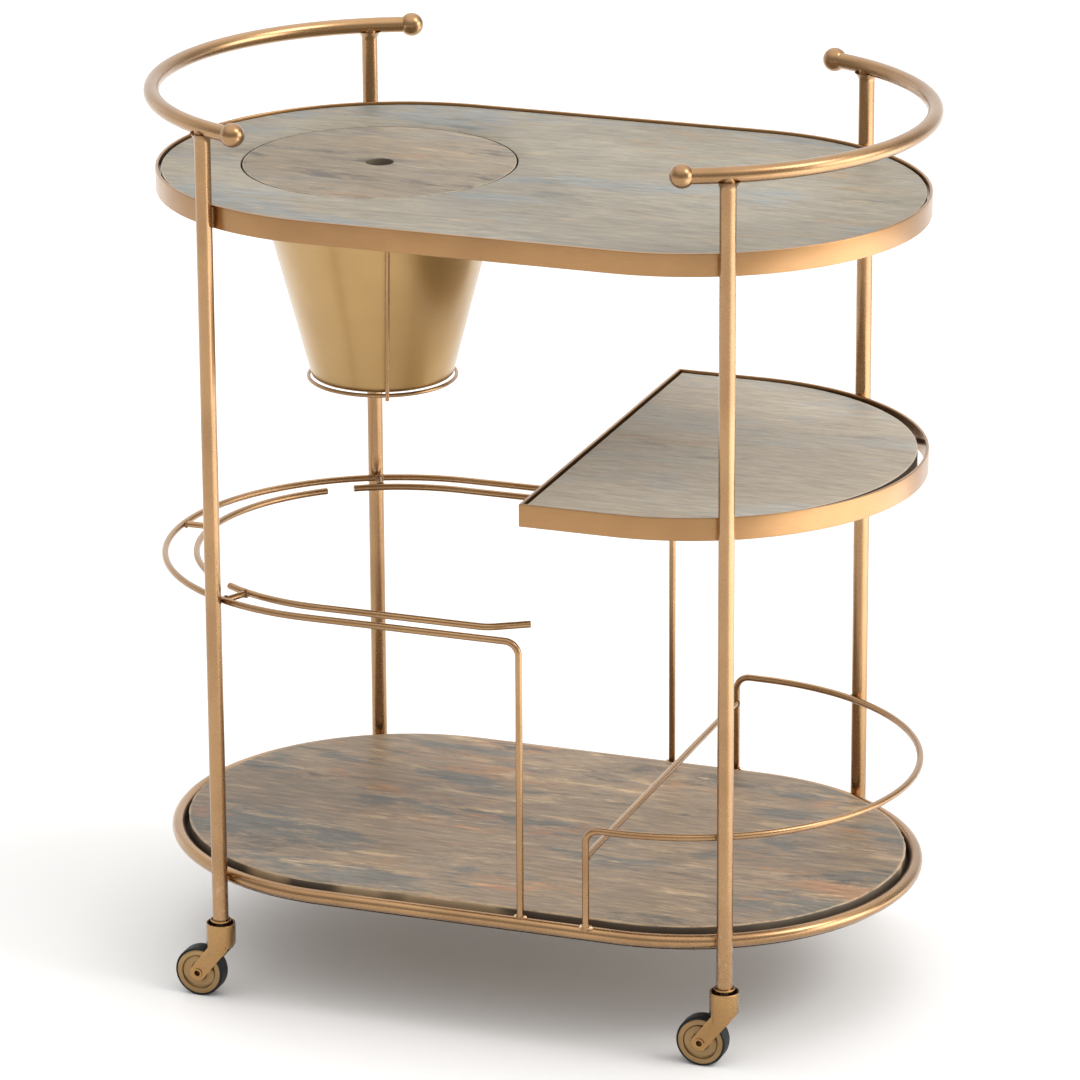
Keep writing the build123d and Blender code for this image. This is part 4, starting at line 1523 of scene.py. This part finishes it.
@dataclass
class Welds:
    """The beads where the posts, hoops and rods meet, and the drops at the rods' feet."""

    shop: Workshop
    uprights: Uprights
    rods: RodWork
    tube_bead: float = 1.7 * MM
    rod_bead: float = 1.2 * MM
    seam_depth: float = 0.93
    seam_spread: float = 0.44
    tube_inset: float = 5.0 * MM
    band_inset: float = 1.5 * MM
    end_inset: float = 0.95
    drop_radius: float = 2.5 * MM
    drop_apart: float = 1.35
    drop_lift: float = 0.3 * MM
    drop_lumps: float = 0.28
    drop_lump_scale: float = 420.0
    drop_squash: float = 0.8

    def seam(self, post: Vector, centre_x: float, low: float, high: float) -> list[list[Vector]]:
        """The two upright beads where a post touches the outside of a hoop.

        Args:
            post: the post's place.
            centre_x: where the hoop's end is centred.
            low: the height where the beads start.
            high: the height where they end.

        Returns:
            The beads' centre lines.
        """
        inward = Vector((centre_x - post.x, -post.y, 0)).normalized()
        along = Vector((-inward.y, inward.x, 0))
        r = self.uprights.radius
        middle = Vector((post.x, post.y, 0)) + inward * (r * self.seam_depth)
        beads = []
        for side in (-1, 1):
            at = middle + along * side * r * self.seam_spread
            beads.append([at + Vector((0, 0, low + (high - low) * i / 10)) for i in range(11)])
        return beads

    @staticmethod
    def ring(centre: Vector, normal: Vector, radius: float, steps: int = 20) -> list[Vector]:
        """A closed bead round a rod's end.

        Args:
            centre: the bead's centre.
            normal: the direction of the rod.
            radius: the bead's radius.
            steps: how many steps round it.

        Returns:
            Its points.
        """
        first = normal.orthogonal().normalized()
        second = normal.normalized().cross(first)
        angles = [math.tau * i / steps for i in range(steps + 1)]
        return [centre + (first * math.cos(a) + second * math.sin(a)) * radius for a in angles]

    def build(self) -> None:
        """Build the posts' beads, the rods' beads and the drops, each as one piece."""
        self.build_beads("hoop_welds", self.hoop_paths(), self.tube_bead)
        self.build_beads("rod_welds", self.rod_paths(), self.rod_bead)
        self.build_drops(self.drop_places())

    def build_beads(self, name: str, paths: Sequence[Sequence[Vector]], radius: float) -> None:
        """One piece of weld beads along paths.

        Args:
            name: the piece's name.
            paths: the beads' centre lines.
            radius: the beads' radius.
        """
        metal = self.shop.weld_brass
        material = self.shop.finish(metal)
        beads = self.shop.welds.make(name, lines(name, paths), radius=radius, material=material)
        self.shop.hand_over(beads, metal)

    def hoop_paths(self) -> list[list[Vector]]:
        """The beads' lines where the posts meet the hoops."""
        paths: list[list[Vector]] = []
        hoop_half = Oval.outside("top_hoop").half_straight
        for corner, post in self.uprights.places.items():
            sign = corner.value[0]
            for node in ("top_hoop", "bottom_hoop", "half_shelf_hoop"):
                if node == "half_shelf_hoop" and sign < 0:
                    continue
                low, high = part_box(node)
                inset = self.tube_inset if node == "bottom_hoop" else self.band_inset
                paths += self.seam(post, sign * hoop_half, low.z + inset, high.z - inset)
        return paths

    def rails(self) -> list[tuple[int, list[Vector]]]:
        """The legged rails' lines, each with the sign along X of the end that it goes round."""
        nodes = (("rack_outer_rod", -1), ("gallery_rail", 1))
        return [(side, self.rods.legged_path(node, side)) for node, side in nodes]

    def rod_paths(self) -> list[list[Vector]]:
        """The beads' lines where the rods meet each other, the hoop and the posts."""
        r = self.rods.radius
        up, across = Vector((0, 0, 1)), Vector((0, 1, 0))
        paths: list[list[Vector]] = []
        for inner, outer in self.rods.spreader_paths():
            along = (outer - inner).normalized()
            inset = along * r * self.end_inset
            paths += [self.ring(inner + inset, along, r), self.ring(outer - inset, along, r)]
        for side, route in self.rails():
            for foot in (route[0], route[-1]):
                top = Vector((foot.x, foot.y, self.rods.hoop_top - 0.6 * MM))
                paths.append(self.ring(top, up, r))
            z = route[len(route) // 2].z
            for corner, post in self.uprights.places.items():
                if corner.value[0] == side:
                    near = min(route, key=lambda p: (p.xy - post.xy).length)
                    touch = near.xy + (post.xy - near.xy).normalized() * r
                    paths.append([Vector((*touch, z + dz * r)) for dz in (-0.9, -0.45, 0.0, 0.45, 0.9)])
        low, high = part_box("gallery_cross_bar")
        for y in (low.y + 0.4 * MM, high.y - 0.4 * MM):
            middle = Vector(((low.x + high.x) / 2, y, (low.z + high.z) / 2))
            paths.append(self.ring(middle, across, r))
        return paths

    def drop_places(self) -> list[Vector]:
        """The drops' centres, on either side of each rod's foot."""
        apart = self.rods.radius * self.drop_apart
        z = self.rods.hoop_top + self.drop_lift
        feet = [foot for _, route in self.rails() for foot in (route[0], route[-1])]
        return [Vector((foot.x + dx * apart, foot.y, z)) for foot in feet for dx in (-1, 1)]

    def build_drops(self, places: Sequence[Vector]) -> None:
        """The drops of weld metal at the rods' feet."""
        drop = bmesh.new()
        bmesh.ops.create_icosphere(drop, subdivisions=3, radius=self.drop_radius)
        for vertex in drop.verts:
            vertex.co *= 1.0 + self.drop_lumps * noise.noise(vertex.co * self.drop_lump_scale)
            vertex.co.z *= self.drop_squash
        for face in drop.faces:
            face.smooth = True
        shape = bpy.data.meshes.new("drop")
        drop.to_mesh(shape)
        drop.free()
        item = show("drop", shape)
        # the drops wear a much lighter brass that paints their glints
        metal = self.shop.drop_brass
        source = dots("drop_places", places)
        material = self.shop.finish(metal)
        drops = self.shop.scatter.make("foot_weld_drops", source, item=item, seed=11, material=material)
        bpy.data.objects.remove(item)
        self.shop.hand_over(drops, metal)


@dataclass
class Fixings:
    """The screws, tabs and ledge under the boards, the seat ring and the casters' swivel pins."""

    shop: Workshop
    head_radius: float = 4.0 * MM
    head_height: float = 2.2 * MM
    recess_reach: float = 0.62
    recess_width: float = 0.22
    supports: dict[str, str] = field(
        default_factory=lambda: {
            "top_board": "top_board_tabs", "half_board": "half_board_tabs", "bottom_board": "bottom_ledge"
        }
    )

    def screw_head(self) -> bpy.types.Object:
        """A pan head with a cross recess, its seat at height 0 and its crown below."""
        r, h = self.head_radius, self.head_height
        profile = ((0.0, 1.0), (0.35, 0.98), (0.7, 0.8), (0.95, 0.45), (1.0, 0.0), (0.0, 0.0))
        head = turned("screw_head", [(r * x, -h * y) for x, y in profile], Vector(), segments=20)
        for turn in (0.0, math.pi / 2):
            point = [(0.0, -h * 1.2), (r * self.recess_reach, -h * 1.2), (0.0, -h * 0.35)]
            slot = turned("recess", point, Vector(), segments=4)
            slot.data.transform(Matrix.Diagonal((1.0, self.recess_width, 1.0, 1.0)))
            slot.data.transform(Matrix.Rotation(turn, 4, "Z"))
            cut_away(head, slot)
        return creased(head, 30.0)

    def build(self) -> None:
        """Set a head at every screw, and dress the pieces that stay as the CAD made them."""
        head = self.screw_head()
        zinc = self.shop.finish(self.shop.zinc)
        for board, support in self.supports.items():
            node = f"{board}_screws"
            points = self.screw_places(node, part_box(support)[0].z)
            source = dots(node, points)
            screws = self.shop.scatter.make(f"{node}_heads", source, item=head, seed=7, material=zinc)
            self.shop.hand_over(screws, self.shop.zinc, [node])
            # the tabs and ledge wear painted shade, a near-black brass that darkens the gaps round the boards
            dress(support, self.shop.finish(self.shop.shade_brass))
        bpy.data.objects.remove(head)
        dress("seat_ring", self.shop.finish(self.shop.brass))
        for corner in Corner:
            dress(f"swivel_pin_{corner.label}", zinc)

    def screw_places(self, node: str, seat: float) -> list[Vector]:
        """The screws' centres, at their seats, from the CAD node's separate heads.

        Args:
            node: the CAD node of the screws.
            seat: the height of their seats.

        Returns:
            The places, in order along X.
        """
        work = bmesh.new()
        work.from_mesh(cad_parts[node].data)
        bmesh.ops.remove_doubles(work, verts=work.verts, dist=1e-5)
        places: list[Vector] = []
        left = set(work.verts)
        while left:
            island, edge = [], [left.pop()]
            while edge:
                vertex = edge.pop()
                island.append(vertex.co.copy())
                for link in vertex.link_edges:
                    other = link.other_vert(vertex)
                    if other in left:
                        left.remove(other)
                        edge.append(other)
            xs, ys = [p.x for p in island], [p.y for p in island]
            places.append(Vector(((min(xs) + max(xs)) / 2, (min(ys) + max(ys)) / 2, seat)))
        work.free()
        return sorted(places, key=lambda p: (round(p.x, 4), round(p.y, 4)))


def dress(node: str, material: bpy.types.Material) -> None:
    """Give a CAD node that stays visible a better material."""
    fitted(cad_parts[node], material)
    LOG.info("%s: CAD shape kept, dressed in %s", node, material.name)


def heading(azimuth: float, elevation: float) -> Triple:
    """The direction out from the cart at two angles in degrees, the azimuth counted from its front."""
    turn, rise = math.radians(azimuth), math.radians(elevation)
    return math.sin(turn) * math.cos(rise), -math.cos(turn) * math.cos(rise), math.sin(rise)


@dataclass(frozen=True)
class SoftLight:
    """A soft light in the studio: where it stands, its bright core, where it fades out, its strength.

    All but the strength are angles in degrees.
    """

    azimuth: float
    elevation: float
    inner: float
    outer: float
    strength: float


@dataclass
class Studio:
    """The floor, the lights and the camera."""

    base_light: float = 0.50
    soft_lights: tuple[SoftLight, ...] = (
        SoftLight(0.0, 90.0, 8.0, 72.0, 1.15),
        SoftLight(88.0, 46.0, 6.0, 17.0, 7.0),
        SoftLight(98.0, 8.0, 8.0, 24.0, 5.0),
        SoftLight(200.0, 5.0, 20.0, 60.0, 0.60),
        SoftLight(-100.0, 8.0, 8.0, 30.0, 0.60),
    )
    glow_place: Triple = (2.7, 0.2, 3.5)
    glow_spread: float = 64.0
    glow_power: float = 1500.0
    glow_blend: float = 0.5
    glow_size: float = 0.2
    camera_place: Triple = (2.006, -5.428, 2.392)
    azimuth: float = 20.31
    elevation: float = 18.583
    roll: float = -0.325
    lens: float = 202.2
    sensor: float = 36.0
    view_end: float = 100.0
    floor_half: float = 9.0
    floor_grey: float = 0.86
    floor_roughness: float = 0.9
    floor_shine: float = 0.1

    def build(self) -> None:
        """Build the studio."""
        bpy.context.scene.view_settings.view_transform = "Standard"
        self.build_floor()
        self.build_world()
        self.build_glow()
        self.build_camera()

    def build_floor(self) -> None:
        """A plain pale floor."""
        half = self.floor_half
        plan = ((-half, -half), (half, -half), (half, half), (-half, half))
        corners = [Vector((x, y, 0.0)) for x, y in plan]
        floor = from_faces("floor", corners, [(0, 1, 2, 3)])
        material, _, shader = blank_material("floor_pale")
        shader.inputs["Base Color"].default_value = (self.floor_grey, self.floor_grey, self.floor_grey, 1.0)
        shader.inputs["Roughness"].default_value = self.floor_roughness
        shader.inputs["Specular IOR Level"].default_value = self.floor_shine
        fitted(floor, material)

    def build_world(self) -> None:
        """Soft studio light: a pale surround, brighter overhead, at the right, behind and at the left."""
        world = bpy.data.worlds.new("studio")
        world.use_nodes = True
        world.node_tree.nodes.clear()
        graph = Graph(world.node_tree)
        ray = graph.add("ShaderNodeTexCoord").outputs["Generated"]
        level: object = self.base_light
        for light in self.soft_lights:
            aim = heading(light.azimuth, light.elevation)
            facing = graph.add("ShaderNodeVectorMath", {0: ray, 1: aim}, operation="DOT_PRODUCT")
            edge, core = math.cos(math.radians(light.outer)), math.cos(math.radians(light.inner))
            glow = graph.ramp(facing.outputs["Value"], edge, core)
            level = graph.math("ADD", graph.math("MULTIPLY", glow, light.strength), level)
        background = graph.add("ShaderNodeBackground", {"Color": (1.0, 0.99, 0.975, 1.0), "Strength": level})
        graph.add("ShaderNodeOutputWorld", {"Surface": background.outputs[0]})
        bpy.context.scene.world = world

    def build_glow(self) -> None:
        """A lamp over the floor at the right, whose glow the upright metal picks up from below."""
        data = bpy.data.lights.new("floor_glow", "SPOT")
        data.energy = self.glow_power
        data.spot_size = math.radians(self.glow_spread)
        data.spot_blend = self.glow_blend
        data.shadow_soft_size = self.glow_size
        lamp = bpy.data.objects.new("floor_glow", data)
        lamp.location = self.glow_place
        bpy.context.scene.collection.objects.link(lamp)

    def build_camera(self) -> None:
        """The camera, looking down a little at the cart from the front and right."""
        turn = math.radians(self.azimuth)
        back = Vector(heading(self.azimuth, self.elevation))
        right = Vector((math.cos(turn), math.sin(turn), 0.0))
        up = back.cross(right)
        basis = Matrix((right, up, back)).transposed().to_4x4()
        data = bpy.data.cameras.new("camera")
        data.sensor_width = self.sensor
        data.lens = self.lens
        data.clip_end = self.view_end
        camera = bpy.data.objects.new("camera", data)
        roll = Matrix.Rotation(math.radians(self.roll), 4, "Z")
        camera.matrix_world = Matrix.Translation(self.camera_place) @ basis @ roll
        bpy.context.scene.collection.objects.link(camera)
        bpy.context.scene.camera = camera


def main() -> None:
    """Build the cart, piece by piece, and the studio round it."""
    logging.basicConfig(level=logging.INFO, format="%(name)s %(message)s")
    Studio().build()
    shop = Workshop()
    uprights = Uprights(shop)
    uprights.build()

    top = Oval.outside("top_hoop")
    bucket_hole = (axis_at("lid"), 138.4 * MM)
    top_shelf = Shelf(shop, "top_hoop", "top_board", top, shop.top_wood, hole=bucket_hole)
    top_shelf.build_band()
    top_shelf.build_board(Oval.outside("top_board"))

    half_hoop = HalfOval(top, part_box("half_shelf_hoop")[0].x)
    # the half shelf's wood is painted lighter to undo the top board's shadow on it
    half_shelf = Shelf(shop, "half_shelf_hoop", "half_shelf_board", half_hoop, shop.half_wood)
    half_shelf.build_band()
    half_board = HalfOval(Oval.outside("half_shelf_board"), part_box("half_shelf_board")[0].x)
    half_shelf.build_board(half_board)

    bottom = Shelf(
        shop, "bottom_hoop", "bottom_board", Oval.outside("bottom_hoop"), shop.bottom_wood,
        soft_edge=2.2 * MM, rim=6.0 * MM, ragged=1.4 * MM,
    )
    bottom.build_tube()
    bottom.build_board(Oval.outside("bottom_board"))

    rods = RodWork(shop)
    rods.build_rack()
    rods.build_gallery()

    bucket = IceBucket(shop)
    bucket.build_bucket()
    bucket.build_lid()
    bucket.build_cradle()

    for corner in Corner:
        place = uprights.places[corner]
        Caster(shop, corner, Vector((place.x, place.y, uprights.foot_z))).build()
    Welds(shop, uprights, rods).build()
    Fixings(shop).build()


if __name__ == "__main__":
    main()
